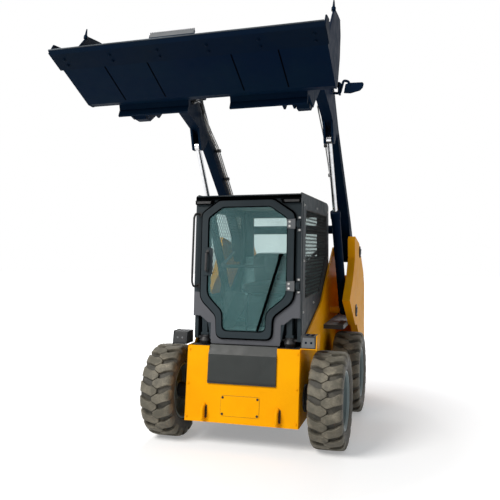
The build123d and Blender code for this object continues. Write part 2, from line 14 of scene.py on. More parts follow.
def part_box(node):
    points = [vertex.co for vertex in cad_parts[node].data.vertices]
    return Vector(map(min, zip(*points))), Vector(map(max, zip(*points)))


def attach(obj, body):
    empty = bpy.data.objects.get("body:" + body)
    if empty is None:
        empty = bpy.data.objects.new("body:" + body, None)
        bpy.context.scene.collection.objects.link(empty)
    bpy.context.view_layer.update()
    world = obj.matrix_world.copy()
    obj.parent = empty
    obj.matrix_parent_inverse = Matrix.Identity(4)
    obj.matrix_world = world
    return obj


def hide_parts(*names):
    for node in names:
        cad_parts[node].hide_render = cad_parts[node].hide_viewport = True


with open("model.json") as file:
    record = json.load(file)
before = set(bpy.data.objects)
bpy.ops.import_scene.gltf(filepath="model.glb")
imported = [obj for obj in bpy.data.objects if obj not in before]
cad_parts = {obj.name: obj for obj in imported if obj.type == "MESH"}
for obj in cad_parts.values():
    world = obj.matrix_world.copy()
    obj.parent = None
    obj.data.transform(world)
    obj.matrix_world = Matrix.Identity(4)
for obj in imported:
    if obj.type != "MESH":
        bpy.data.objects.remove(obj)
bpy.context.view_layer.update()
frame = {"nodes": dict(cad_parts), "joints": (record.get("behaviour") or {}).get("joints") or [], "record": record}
nodes = frame["nodes"]
pivots = {joint["name"]: joint["pos_m"] for joint in frame["joints"] if joint.get("pos_m")}
scene = bpy.context.scene


# ---------------- node helpers


def new_material(name):
    """Material whose node tree has only the shader and the output."""
    material = bpy.data.materials.new(name)
    material.use_nodes = True
    tree = material.node_tree
    return material, tree, tree.nodes["Principled BSDF"]


def feed(tree, node, *values, **named):
    """Feed a node's first inputs in order, and others by name with _ for each space.

    A socket is linked; a number, a vector or a colour is set.
    """
    targets = list(zip(node.inputs, values))
    targets += [(node.inputs[name.replace("_", " ")], value) for name, value in named.items()]
    for target, value in targets:
        if isinstance(value, bpy.types.NodeSocket):
            tree.links.new(value, target)
        else:
            target.default_value = value


def add(tree, kind, *values, settings=None, **named):
    """New node with its properties from settings and its inputs fed."""
    node = tree.nodes.new(kind)
    for key, value in (settings or {}).items():
        setattr(node, key, value)
    feed(tree, node, *values, **named)
    return node


def position(tree):
    """Object position in metres, which every pattern here is laid in."""
    return add(tree, "ShaderNodeTexCoord").outputs["Object"]


def noise(tree, scale, detail=3.0, roughness=0.5, stretch=None):
    """Noise value between 0 and 1 at this scale, in cycles per metre."""
    place = position(tree)
    if stretch:
        place = add(tree, "ShaderNodeMapping", place, Scale=stretch).outputs["Vector"]
    texture = add(tree, "ShaderNodeTexNoise", place, Scale=scale, Detail=detail, Roughness=roughness)
    return texture.outputs["Fac"]


def cells(tree, scale, feature):
    """Distance from the middle of the nearest cell, for leather and moulded grain."""
    texture = add(tree, "ShaderNodeTexVoronoi", position(tree), settings={"feature": feature}, Scale=scale)
    return texture.outputs["Distance"]


def ramp(tree, value, low, high, start=0.0, end=1.0):
    """Value mapped from low..high to start..end and kept between them."""
    return add(tree, "ShaderNodeMapRange", value, low, high, start, end).outputs["Result"]


def mix(tree, factor, first, second):
    """Colour between first and second; each is a colour or a socket."""
    node = add(tree, "ShaderNodeMix", factor, settings={"data_type": "RGBA"})
    # Its inputs 6 and 7 and its output 2 are the sockets for colours.
    for target, colour in ((node.inputs[6], first), (node.inputs[7], second)):
        if isinstance(colour, tuple):
            target.default_value = (*colour, 1.0)
        else:
            tree.links.new(colour, target)
    return node.outputs[2]


def calculate(tree, operation, *values):
    """Result of one operation on values; each is a socket or a number."""
    return add(tree, "ShaderNodeMath", *values, settings={"operation": operation}).outputs["Value"]


def product(tree, first, *others):
    for other in others:
        first = calculate(tree, "MULTIPLY", first, other)
    return first


def bump(tree, shader, height, strength, distance):
    """Relief of the shader's surface."""
    node = add(tree, "ShaderNodeBump", Height=height, Strength=strength, Distance=distance)
    feed(tree, shader, Normal=node.outputs["Normal"])


def facing_up(tree):
    """1 on surfaces that face the sky, where dust settles."""
    normal = add(tree, "ShaderNodeNewGeometry").outputs["Normal"]
    return ramp(tree, add(tree, "ShaderNodeSeparateXYZ", normal).outputs["Z"], 0.3, 1.0)


def shown_plainly(tree):
    """1 where the camera looks, also through glass or off a shiny face; 0 for the light on the machine."""
    rays = add(tree, "ShaderNodeLightPath").outputs
    seen = calculate(tree, "MAXIMUM", rays["Is Camera Ray"], rays["Is Transmission Ray"])
    return calculate(tree, "MAXIMUM", seen, rays["Is Glossy Ray"])


# ---------------- materials

dust = (0.30, 0.25, 0.19)


def paint(name, colour, shade, roughness, dust_share, shine):
    """Enamel over steel: cloudy tone, orange peel, dust on what faces up and a few scuffs."""
    material, tree, shader = new_material(name)
    cloud = ramp(tree, noise(tree, 2.6, 5.0, 0.6), 0.35, 0.7)
    base = mix(tree, cloud, colour, shade)
    dirt = product(tree, ramp(tree, noise(tree, 9.0, 6.0, 0.65), 0.42, 0.75), dust_share)
    dusted = mix(tree, product(tree, dirt, facing_up(tree)), base, dust)
    scuff = ramp(tree, noise(tree, 16.0, 8.0, 0.75, (1.0, 1.0, 0.25)), 0.66, 0.74)
    spotted = mix(tree, product(tree, scuff, 0.5 * dust_share), dusted, dust)
    gloss = ramp(tree, noise(tree, 14.0, 5.0, 0.6), 0.3, 0.75, roughness - 0.06, roughness + 0.12)
    feed(tree, shader, Base_Color=spotted, Roughness=gloss, Specular_IOR_Level=shine)
    bump(tree, shader, noise(tree, 240.0, 2.0, 0.5), 0.12, 0.0006)
    return material


def tyre_rubber():
    """Rubber, black in the grooves, with pale dry mud on the lugs and the shoulders."""
    material, tree, shader = new_material("tyre_rubber")
    mud = ramp(tree, noise(tree, 11.0, 8.0, 0.68), 0.42, 0.66)
    patch = ramp(tree, noise(tree, 3.1, 3.0, 0.5), 0.3, 0.7, 0.25, 1.0)
    fine = ramp(tree, noise(tree, 90.0, 6.0, 0.7), 0.35, 0.7, 0.45, 1.0)
    height = add(tree, "ShaderNodeAttribute", settings={"attribute_name": "lug"})
    on_lug = ramp(tree, height.outputs["Fac"], 0.0, 1.0, 0.30, 1.0)
    cover = product(tree, mud, patch, fine, on_lug)
    tone = ramp(tree, noise(tree, 22.0, 4.0, 0.6), 0.3, 0.7)
    rubber = mix(tree, tone, (0.012, 0.012, 0.012), (0.028, 0.027, 0.025))
    dusty = mix(tree, on_lug, rubber, (0.098, 0.090, 0.068))
    muddy = mix(tree, cover, dusty, (0.40, 0.355, 0.275))
    gloss = ramp(tree, cover, 0.0, 1.0, 0.62, 0.95)
    feed(tree, shader, Base_Color=muddy, Roughness=gloss, Specular_IOR_Level=0.35)
    bump(tree, shader, noise(tree, 160.0, 6.0, 0.7), 0.5, 0.0015)
    return material


def chrome():
    """Polished rod with fine marks along it."""
    material, tree, shader = new_material("chrome")
    tone = ramp(tree, noise(tree, 30.0), 0.4, 0.7)
    colour = mix(tree, tone, (0.62, 0.63, 0.65), (0.50, 0.50, 0.51))
    marks = ramp(tree, noise(tree, 60.0, 4.0, 0.6, (1, 1, 0.1)), 0.3, 0.7, 0.12, 0.26)
    feed(tree, shader, Base_Color=colour, Roughness=marks, Metallic=1.0)
    return material


def steel(name, colour, roughness):
    """Bare or zinc-plated steel with streaks along its length."""
    material, tree, shader = new_material(name)
    streak = ramp(tree, noise(tree, 22.0, 6.0, 0.7, (0.15, 1, 1)), 0.35, 0.7)
    streaked = mix(tree, streak, colour, tuple(c * 0.55 for c in colour))
    gloss = ramp(tree, streak, 0.0, 1.0, roughness, roughness + 0.2)
    feed(tree, shader, Base_Color=streaked, Roughness=gloss, Metallic=0.85)
    bump(tree, shader, noise(tree, 180.0, 3.0), 0.15, 0.0005)
    return material


def moulded(name, colour, roughness, grain):
    """Moulded plastic or rubber with a fine grain."""
    material, tree, shader = new_material(name)
    pale = tuple(min(1.0, c * 1.7 + 0.01) for c in colour)
    tone = ramp(tree, noise(tree, 12.0, 5.0, 0.6), 0.45, 0.8)
    gloss = ramp(tree, noise(tree, 30.0, 4.0), 0.3, 0.7, roughness - 0.08, roughness + 0.1)
    feed(tree, shader, Base_Color=mix(tree, tone, colour, pale), Roughness=gloss)
    bump(tree, shader, cells(tree, grain, "F1"), 0.12, 0.0002)
    return material


def vinyl():
    """Black seat vinyl with a leather grain."""
    material, tree, shader = new_material("seat_vinyl")
    tone = ramp(tree, noise(tree, 8.0, 4.0), 0.35, 0.7)
    colour = mix(tree, tone, (0.012, 0.013, 0.012), (0.034, 0.034, 0.029))
    feed(tree, shader, Base_Color=colour, Roughness=0.48, Sheen_Weight=0.15)
    bump(tree, shader, cells(tree, 300.0, "SMOOTH_F1"), 0.12, 0.0003)
    return material


def window_glass(name, thin_film, thick_film):
    """Teal safety glass: mostly clear, with a film of colour and dust that varies in strength."""
    material, tree, shader = new_material(name)
    clear = add(tree, "ShaderNodeBsdfTransparent", (0.93, 0.975, 0.97, 1.0))
    tone = ramp(tree, noise(tree, 7.0, 5.0), 0.4, 0.7)
    colour = mix(tree, tone, (0.12, 0.285, 0.295), (0.16, 0.335, 0.345))
    feed(tree, shader, Base_Color=colour, Roughness=0.04, IOR=1.5)
    film = ramp(tree, noise(tree, 3.0, 5.0, 0.6), 0.35, 0.75, thin_film, thick_film)
    glass = add(tree, "ShaderNodeMixShader", film, clear.outputs["BSDF"], shader.outputs["BSDF"])
    feed(tree, tree.nodes["Material Output"], glass.outputs["Shader"])
    return material


# Colour, shade of its clouds, roughness, share of dust, specular level.
paints = {
    "body_yellow": ((0.96, 0.415, 0.0), (0.90, 0.365, 0.0), 0.48, 0.08, 0.06),
    "cab_grey": ((0.021, 0.031, 0.037), (0.016, 0.024, 0.029), 0.48, 0.05, 0.15),
    "chassis_black": ((0.026, 0.029, 0.031), (0.020, 0.022, 0.024), 0.5, 0.2, 0.3),
    "boom_black": ((0.0016, 0.0082, 0.0250), (0.0030, 0.0120, 0.026), 0.5, 0.01, 0.02),
    "rim_paint": ((0.22, 0.275, 0.28), (0.17, 0.215, 0.215), 0.42, 0.3, 0.3),
    "edge_steel": ((0.0020, 0.0080, 0.0220), (0.004, 0.010, 0.020), 0.5, 0.02, 0.02),
    "engine_iron": ((0.05, 0.05, 0.05), (0.09, 0.085, 0.08), 0.6, 0.25, 0.3),
    "hinge_grey": ((0.13, 0.14, 0.15), (0.10, 0.105, 0.11), 0.4, 0.25, 0.3),
    "neck_grey": ((0.085, 0.088, 0.100), (0.070, 0.073, 0.083), 0.42, 0.08, 0.3),
    "matt_black": ((0.012, 0.013, 0.014), (0.020, 0.021, 0.022), 0.55, 0.25, 0.3),
    "joint_black": ((0.0008, 0.0010, 0.0014), (0.001, 0.001, 0.001), 0.9, 0.0, 0.0),
    "panel_grey": ((0.024, 0.028, 0.027), (0.018, 0.021, 0.020), 0.36, 0.08, 0.3),
}
# Colour, roughness, grain in cells per metre.
mouldings = {
    "black_plastic": ((0.014, 0.014, 0.015), 0.6, 420.0),
    "rubber_seal": ((0.010, 0.010, 0.011), 0.5, 700.0),
    "hose_rubber": ((0.012, 0.012, 0.013), 0.45, 900.0),
    "lining_grey": ((0.20, 0.28, 0.285), 0.7, 300.0),
    # Painted shadow: this dark brown colours the flat patch beside each tow ring, where the ring's shade falls.
    "painted_shadow_brown": ((0.045, 0.022, 0.004), 0.8, 300.0),
    "red_lens": ((0.45, 0.012, 0.010), 0.25, 260.0),
}
looks = {name: paint(name, *row) for name, row in paints.items()}
looks.update({name: moulded(name, *row) for name, row in mouldings.items()})
looks["tyre_rubber"] = tyre_rubber()
looks["chrome_rod"] = chrome()
looks["seat_cloth"] = vinyl()
looks["zinc_steel"] = steel("zinc_steel", (0.62, 0.62, 0.60), 0.32)
# Steel for the thin strip along the bucket's edge, which is a painted highlight.
looks["highlight_steel"] = steel("highlight_steel", (0.06, 0.07, 0.08), 0.5)
looks["window_glass"] = window_glass("window_glass", 0.19, 0.27)
looks["clear_glass"] = window_glass("clear_glass", 0.02, 0.05)

for entry in frame["record"]["subparts"]:
    mesh = nodes[entry["node"]].data
    mesh.materials.clear()
    mesh.materials.append(looks[entry["material_slot"]])
nodes["step_panel"].data.materials[0] = looks["panel_grey"]
for pane in ("rear_glass", "side_glass_left", "side_glass_right"):
    nodes[pane].data.materials[0] = looks["clear_glass"]


# ---------------- places

left_and_right = ((1, "left"), (-1, "right"))
forward = Vector((0, -1, 0))
up = Vector((0, 0, 1))
front_axle_y = pivots["wheel_front_left_spin"][1]


def seen_from_side(joint):
    """Joint in a side view: how far behind the front axle, and how high."""
    return pivots[joint][1] - front_axle_y, pivots[joint][2]


arm_pivot = seen_from_side("boom_lift")
lift_foot = seen_from_side("lift_barrel_swing")
tilt_foot = seen_from_side("tilt_barrel_swing")

# A leaning face: how far its foot is behind the front axle, how high the foot is, and its lean.
cab_face = (-0.107, 0.850, 0.099 / 1.160)
plate_face = (-0.264, 0.205, 0.091 / 0.600)
# The bucket: its heel, in a side view, and how far it is tipped up.
bucket_heel = (-0.995, 2.588)
bucket_tip = math.radians(27.1)


def at(x, behind, height):
    """Point of the machine: across, how far behind the front axle, above the ground."""
    return Vector((x, front_axle_y + behind, height))


def on_face(face, x, height, ahead):
    """Point this far ahead of a leaning face."""
    behind, foot, lean = face
    return at(x, behind + lean * (height - foot) - ahead, height)


def on_cab(x, height, ahead=0.0):
    """Point this far ahead of the cab's leaning front."""
    return on_face(cab_face, x, height, ahead)


def on_plate(x, height, ahead=0.0):
    """Point this far ahead of the leaning yellow front plate."""
    return on_face(plate_face, x, height, ahead)


def in_bucket(x, out, above):
    """Point of the bucket, out from its heel and above its floor."""
    behind = bucket_heel[0] - out * math.cos(bucket_tip) + above * math.sin(bucket_tip)
    return at(x, behind, bucket_heel[1] + out * math.sin(bucket_tip) + above * math.cos(bucket_tip))


def bucket_way(out, above):
    """Direction in the bucket's own sense of out and above."""
    return in_bucket(0, out, above) - in_bucket(0, 0, 0)


def quad(place, left, right, low, high):
    """Four corners between two x values; low and high hold the other two coordinates of place."""
    return [place(left, *low), place(right, *low), place(right, *high), place(left, *high)]


def side_view(x, outline):
    """Outline of (behind, height) pairs at this x."""
    return [at(x, behind, height) for behind, height in outline]


def front_view(outline, ahead, side=1):
    """Outline of (x, height) pairs this far ahead of the cab's front, mirrored for side -1."""
    return [on_cab(side * x, height, ahead) for x, height in outline]


def spots(place, rows, side=1):
    """Points of place from rows of its coordinates, mirrored for side -1."""
    return [place(side * x, *others) for x, *others in rows]


# ---------------- mesh helpers


def skin(bm, near, far):
    """Faces between two closed rings of corners."""
    for index, corner in enumerate(near):
        following = (index + 1) % len(near)
        bm.faces.new((corner, near[following], far[following], far[index]))


def prism(bm, outline, depth):
    """Closed solid between an outline of points and its copy moved by depth."""
    near = [bm.verts.new(point) for point in outline]
    far = [bm.verts.new(Vector(point) + Vector(depth)) for point in outline]
    bm.faces.new(near)
    bm.faces.new(list(reversed(far)))
    for index, corner in enumerate(near):
        following = (index + 1) % len(near)
        bm.faces.new((corner, far[index], far[following], near[following]))


def ring(bm, centre, first, second, sides):
    """Corners of a round whose radii are the vectors first and second."""
    corners = []
    for side in range(sides):
        angle = math.tau * side / sides
        corners.append(bm.verts.new(centre + first * math.cos(angle) + second * math.sin(angle)))
    return corners


def cap(bm, rings):
    """Close the two ends of a run of rings."""
    bm.faces.new(list(reversed(rings[0])))
    bm.faces.new(rings[-1])


def bar(bm, start, end, radius, sides=16, tip=None):
    """Round bar between two points, which ends at radius tip where that is given."""
    turn = (Vector(end) - Vector(start)).to_track_quat("Z", "Y")
    across, upright = turn @ Vector((1, 0, 0)), turn @ Vector((0, 1, 0))
    end_radius = radius if tip is None else tip
    rings = [
        ring(bm, Vector(start), across * radius, upright * radius, sides),
        ring(bm, Vector(end), across * end_radius, upright * end_radius, sides),
    ]
    skin(bm, *rings)
    cap(bm, rings)


def turned(bm, base, axis, sides, *sections):
    """Rounds along an axis; a section is its start, its end, its radius and its radius at the end."""
    for start, end, radius, tip in sections:
        bar(bm, base + axis * start, base + axis * end, radius, sides, tip)


def bolt(bm, centre, normal, size):
    """Hexagon bolt head on its washer; size is the width across the corners."""
    axis = Vector(normal).normalized() * size
    base = Vector(centre)
    bar(bm, base, base + axis * 0.12, size * 0.72, 18)
    bar(bm, base + axis * 0.12, base + axis * 0.5, size * 0.5, 6)
    bar(bm, base + axis * 0.5, base + axis * 0.58, size * 0.4, 12, size * 0.25)


def path_tube(bm, points, radius, sides, bend=0.0, closed=False):
    """Tube along a list of points, with mitred corners or corners rounded to radius bend."""
    if bend:
        points = smooth_path(points, bend)
    count = len(points)
    rings = []
    normal = None
    for index, point in enumerate(points):
        before = points[(index - 1) % count] if closed or index else points[0]
        after = points[(index + 1) % count] if closed or index < count - 1 else points[-1]
        along = (Vector(after) - Vector(before)).normalized()
        if normal is None:
            normal = along.orthogonal().normalized()
        normal = (normal - along * normal.dot(along)).normalized()
        rings.append(ring(bm, Vector(point), normal * radius, along.cross(normal) * radius, sides))
    for near, far in zip(rings, rings[1:]):
        skin(bm, near, far)
    if closed:
        skin(bm, rings[-1], rings[0])
    else:
        cap(bm, rings)


arc_steps = 6


def corner_arc(before, corner, after, radius, steps=arc_steps):
    """Points of the round that replaces a corner."""
    before, corner, after = Vector(before), Vector(corner), Vector(after)
    back = (before - corner).normalized()
    on = (after - corner).normalized()
    full_reach = radius / max(math.tan(back.angle(on) / 2), 0.05)
    reach = min(full_reach, 0.45 * (before - corner).length, 0.45 * (after - corner).length)
    start, end = corner + back * reach, corner + on * reach
    arc = []
    for step in range(steps + 1):
        share = step / steps
        arc.append(start.lerp(corner, share).lerp(corner.lerp(end, share), share))
    return arc


def smooth_path(points, radius):
    """Open run of points with its inner corners rounded."""
    rounded = [Vector(points[0])]
    for before, corner, after in zip(points, points[1:], points[2:]):
        rounded += corner_arc(before, corner, after, radius)
    rounded.append(Vector(points[-1]))
    return rounded


def rounded_loop(outline, radius, steps=arc_steps):
    """Closed outline with every corner rounded, by one radius or by one for each corner."""
    radii = radius if isinstance(radius, list) else [radius] * len(outline)
    loop = []
    for index, (corner, size) in enumerate(zip(outline, radii)):
        following = outline[(index + 1) % len(outline)]
        loop += corner_arc(outline[index - 1], corner, following, size, steps)
    return loop


def finish(name, bm, material, body="root", bevel=0.0, replaces=(), slot=None, smooth_angle=35, place=None):
    """Turn the mesh into a piece that rides on its body."""
    bmesh.ops.recalc_face_normals(bm, faces=bm.faces)
    mesh = bpy.data.meshes.new(name)
    bm.to_mesh(mesh)
    bm.free()
    mesh.materials.append(looks[material])
    mesh.polygons.foreach_set("use_smooth", [True] * len(mesh.polygons))
    mesh.set_sharp_from_angle(angle=math.radians(smooth_angle))
    piece = bpy.data.objects.new(name, mesh)
    scene.collection.objects.link(piece)
    if place:
        piece.location = place
    if bevel:
        rounding = piece.modifiers.new("rounding", "BEVEL")
        rounding.width = bevel
        rounding.segments = 2
        rounding.limit_method = "ANGLE"
        rounding.angle_limit = math.radians(40)
    if replaces:
        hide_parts(*replaces)
    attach(piece, body)
    return piece


def plate(name, outline, depth, material, body="root", **settings):
    """Piece that is one prism."""
    bm = bmesh.new()
    prism(bm, outline, depth)
    finish(name, bm, material, body, **settings)


def tube(name, points, radius, sides, material, body="root", **course):
    """Piece that is one tube."""
    bm = bmesh.new()
    path_tube(bm, points, radius, sides, **course)
    finish(name, bm, material, body)


def bolts(name, places, normal, size, material, body="root"):
    """Piece that is a set of equal bolts."""
    bm = bmesh.new()
    for place in places:
        bolt(bm, place, normal, size)
    finish(name, bm, material, body)


def both_sides(build):
    """Run a builder for the machine's left and right."""
    for side, word in left_and_right:
        build(side, word)


# ---------------- tyres and wheels

lug_pairs = 19
# Radius taken for the side wall, where a lug's foot lies on it.
wall_radius = 0.335
lug_sunk = 0.012
lug_crown = 0.0006
# How much a lug widens down to its foot, in pitches to each side.
lug_flare = 0.045
# Tyre section from the bead to the tread's middle: distance from the middle plane, radius.
carcass_half = [
    (0.103, 0.2228), (0.107, 0.2382), (0.118, 0.243), (0.126, 0.252), (0.1235, 0.262), (0.129, 0.272),
    (0.1335, 0.290), (0.135, 0.312), (0.1335, 0.330), (0.129, 0.343), (0.118, 0.352), (0.095, 0.358),
    (0.050, 0.362), (0.0, 0.3635),
]
# A lug from its head at the tread's middle to its foot on the side wall: distance from the middle
# plane, radius of its top, turn in pitches, half width in pitches.
lug_stations = [
    (-0.021, 0.3860, 0.00, 0.110), (-0.009, 0.3880, 0.00, 0.175), (0.004, 0.3885, 0.00, 0.245),
    (0.022, 0.3885, 0.00, 0.325), (0.043, 0.3882, -0.02, 0.285), (0.070, 0.3878, -0.10, 0.268),
    (0.098, 0.3858, -0.20, 0.305), (0.116, 0.3805, -0.27, 0.335), (0.127, 0.3690, -0.30, 0.330),
    (0.1335, 0.3480, -0.32, 0.285), (0.1360, 0.3240, -0.33, 0.195),
]


def carcass_radius(x):
    """Radius of the tyre between the lugs, this far from the middle plane."""
    for (outer_x, outer_r), (inner_x, inner_r) in zip(carcass_half[6:], carcass_half[7:]):
        if inner_x <= abs(x) <= outer_x and outer_x > inner_x:
            return inner_r + (outer_r - inner_r) * (abs(x) - inner_x) / (outer_x - inner_x)
    return wall_radius


def tyre_mesh(side):
    """Carcass with two rows of interlocking lugs that slant up towards the shoulders in front."""
    bm = bmesh.new()
    lug_layer = bm.verts.layers.float.new("lug")
    pitch = math.tau / lug_pairs
    around = 8 * lug_pairs

    def spot(x, radius, angle):
        return bm.verts.new((side * x, radius * math.cos(angle), radius * math.sin(angle)))

    def lug(row, turned_by):
        """One lug of a row, this many pitches round."""
        sections = []
        for x, top, turn, half in lug_stations:
            foot = min(carcass_radius(x), top) - lug_sunk
            wide = half + lug_flare
            section = []
            top_middle = top + lug_crown
            for radius, aside in ((foot, -wide), (top, -half), (top_middle, 0), (top, half), (foot, wide)):
                section.append(spot(row * x, radius, pitch * (turned_by + turn + aside)))
            for corner in section[1:4]:
                corner[lug_layer] = 1.0
            sections.append(section)
        for near, far in zip(sections, sections[1:]):
            skin(bm, near, far)
        bm.faces.new(sections[0])
        bm.faces.new(list(reversed(sections[-1])))

    profile = [(-x, r) for x, r in carcass_half] + carcass_half[-2::-1]
    rings = [[spot(x, r, math.tau * step / around) for step in range(around)] for x, r in profile]
    for near, far in zip(rings, rings[1:] + rings[:1]):
        skin(bm, near, far)
    for row, phase in ((1, 0.0), (-1, 0.5)):
        for pair in range(lug_pairs):
            lug(row, pair + phase)
    return bm


def wheel(corner, side):
    """Detailed tyre in place of the plain one, and nuts, hub cap and valve on the rim."""
    body = "wheel_" + corner
    hub = Vector(pivots[body + "_spin"])
    outward = Vector((side, 0, 0))
    finish("tread_" + corner, tyre_mesh(side), "tyre_rubber", body, bevel=0.0035,
           replaces=("tyre_" + corner,), slot="tyre_rubber", smooth_angle=30, place=hub)
    bm = bmesh.new()
    nuts, nut_circle = 8, 0.116
    for nut in range(nuts):
        angle = math.tau * (nut + 0.5) / nuts
        place = Vector((side * -0.012, nut_circle * math.cos(angle), nut_circle * math.sin(angle)))
        bolt(bm, hub + place, outward, 0.026)
    turned(bm, hub, outward, 32, (0.040, 0.050, 0.046, 0.040), (0.050, 0.054, 0.030, 0.026))
    valve = [hub + outward * out + up * height for out, height in ((0.002, 0.190), (0.045, 0.184))]
    bar(bm, *valve, 0.005, 10, 0.004)
    finish("wheel_nuts_" + corner, bm, "zinc_steel", body, bevel=0.0008)


for axle in ("front", "rear"):
    for side, word in left_and_right:
        wheel(axle + "_" + word, side)


# ---------------- cab outside

# Seen from the front, as (x, height), from the foot's right corner round the left side.
door_leaf = [
    (-0.238, 0.870), (0.222, 0.870), (0.230, 1.050), (0.401, 1.185), (0.401, 1.882),
    (0.226, 2.001), (-0.236, 2.001), (-0.386, 1.896), (-0.386, 1.185), (-0.246, 1.050),
]
door_window = [
    (-0.194, 0.922), (0.178, 0.922), (0.184, 1.082), (0.348, 1.216), (0.348, 1.850),
    (0.200, 1.950), (-0.210, 1.950), (-0.333, 1.862), (-0.333, 1.216), (-0.200, 1.082),
]
# The leaf's outline, 10 mm wider, where the neck plates end.
door_leaf_wider = [
    (-0.248, 0.860), (0.232, 0.860), (0.240, 1.046), (0.411, 1.180), (0.411, 1.886),
    (0.230, 2.011), (-0.240, 2.011), (-0.396, 1.900), (-0.396, 1.180), (-0.256, 1.046),
]
door_rounding = [0.055, 0.055, 0.090, 0.130, 0.060, 0.070, 0.070, 0.060, 0.130, 0.090]
door_back = 0.006
door_face = 0.036
hinge_x = pivots["cab_door_swing"][0]
hinge_heights = (1.800, 1.300)
# Trim stands this far off the cab's floor and is sunk this far into its roof.
contact = 0.0005
cab_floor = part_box("cab_floor")[1].z + contact
roof_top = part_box("cab_roof")[1].z - contact
cab_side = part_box("cab_side_left")[1].x
guard_x = 0.446


def on_door(x, height, ahead):
    """Point this far ahead of the door's face."""
    return on_cab(x, height, door_face + ahead)


def door_loop(outline, ahead):
    """Rounded outline of the door's leaf or window, this far ahead of the cab's front."""
    return rounded_loop(front_view(outline, ahead), door_rounding, 9)


def door_panel():
    """Pressed leaf with its window and hinge straps."""
    bm = bmesh.new()
    outer_back, outer_face, inner_back, inner_face = [
        [bm.verts.new(point) for point in door_loop(outline, ahead)]
        for outline in (door_leaf, door_window)
        for ahead in (door_back, door_face)
    ]
    loops = (outer_back, outer_face, inner_face, inner_back)
    for near, far in zip(loops, loops[1:] + loops[:1]):
        skin(bm, near, far)
    for height in hinge_heights:
        low, high = height - 0.019, height + 0.019
        prism(bm, quad(on_cab, 0.385, 0.426, (low, 0.014), (high, 0.014)), forward * 0.016)
        bar(bm, on_cab(hinge_x, height - 0.0195, 0.021), on_cab(hinge_x, height + 0.0195, 0.021), 0.014, 20)
    finish("door_panel", bm, "cab_grey", "cab_door", bevel=0.002, replaces=("cab_door",), slot="cab_grey")


def door_seals():
    """Dark seals round the leaf and round the window."""
    bm = bmesh.new()
    path_tube(bm, door_loop(door_leaf, 0.012), 0.0065, 8, closed=True)
    gap = []
    for point in door_loop(door_leaf, 0.016):
        outward = point - Vector((0.004, point.y, 1.44))
        gap.append(point + outward.normalized() * 0.007)
    path_tube(bm, gap, 0.0075, 8, closed=True)
    path_tube(bm, door_loop(door_window, door_face - 0.010), 0.0085, 8, closed=True)
    finish("door_seals", bm, "joint_black", "cab_door")


def door_latch():
    """Plate with clipped corners, bent handle and lock."""
    corners = [
        (-0.378, 1.392), (-0.378, 1.597), (-0.364, 1.611), (-0.305, 1.611),
        (-0.284, 1.597), (-0.284, 1.392), (-0.305, 1.378), (-0.364, 1.378),
    ]
    plate("latch_plate", front_view(corners, door_face), forward * 0.008, "cab_grey", "cab_door", bevel=0.002)
    bm = bmesh.new()
    near, far = 0.006, 0.042
    bends = ((-0.329, 1.418, near), (-0.329, 1.422, far), (-0.327, 1.560, far), (-0.327, 1.566, near))
    path_tube(bm, spots(on_door, bends), 0.011, 12, bend=0.014)
    bar(bm, on_door(-0.327, 1.580, near), on_door(-0.327, 1.580, 0.018), 0.012, 20)
    finish("latch_handle", bm, "black_plastic", "cab_door")


def wiper():
    """Pivot, cranked arm and the blade with its clips."""
    bm = bmesh.new()
    pivot = on_door(0.300, 1.545, -0.006)
    bar(bm, pivot, pivot + forward * 0.030, 0.014, 20, 0.011)
    crank = ((0.300, 1.545, 0.018), (0.262, 1.420, 0.022), (0.176, 1.140, 0.012))
    path_tube(bm, spots(on_door, crank), 0.0115, 8, bend=0.05)
    hood = ((0.316, 1.560, 0.012), (0.284, 1.560, 0.012), (0.256, 1.400, 0.016), (0.268, 1.396, 0.016))
    prism(bm, spots(on_door, hood), forward * 0.012)
    top, foot = on_door(0.246, 1.370, 0.004), on_door(0.112, 0.935, 0.004)
    along = (foot - top).normalized()
    across = Vector((along.z, 0, -along.x)) * 0.010
    prism(bm, [top - across, top + across, foot + across, foot - across], forward * 0.008)
    for share in (0.25, 0.5, 0.75):
        middle = top.lerp(foot, share) + forward * 0.006
        bar(bm, middle - along * 0.020, middle + along * 0.020, 0.010, 8)
    finish("wiper", bm, "joint_black", "cab_door", bevel=0.0008)


def hinge_leaves():
    """Halves of the hinges that are bolted to the door's face."""
    bm = bmesh.new()
    places = []
    for height in hinge_heights:
        corners = [(0.345, -0.036), (0.345, 0.036), (0.412, 0.042), (0.412, -0.042)]
        prism(bm, [on_door(x, height + step, 0.0) for x, step in corners], forward * 0.007)
        places += [on_door(0.366, height + step, 0.007) for step in (-0.018, 0.018)]
    finish("hinge_leaves", bm, "hinge_grey", "cab_door", bevel=0.0015)
    bolts("hinge_leaf_bolts", places, forward, 0.013, "zinc_steel", "cab_door")


def hinge_posts():
    """Fixed halves of the door hinges, with their domed bolts."""
    bm = bmesh.new()
    domes = bmesh.new()
    for hinge in hinge_heights:
        for height in (hinge - 0.050, hinge + 0.050):
            low, high = height - 0.012, height + 0.012
            outline = [(0.424, low), (0.424, high), (0.452, high), (0.452, low)]
            prism(bm, front_view(outline, 0.0), forward * 0.012)
            turned(domes, on_cab(0.440, height, 0.012), forward, 20,
                   (0.0, 0.005, 0.010, 0.008), (0.005, 0.009, 0.008, 0.004))
    finish("hinge_posts", bm, "hinge_grey", bevel=0.0015)
    finish("hinge_domes", domes, "zinc_steel")


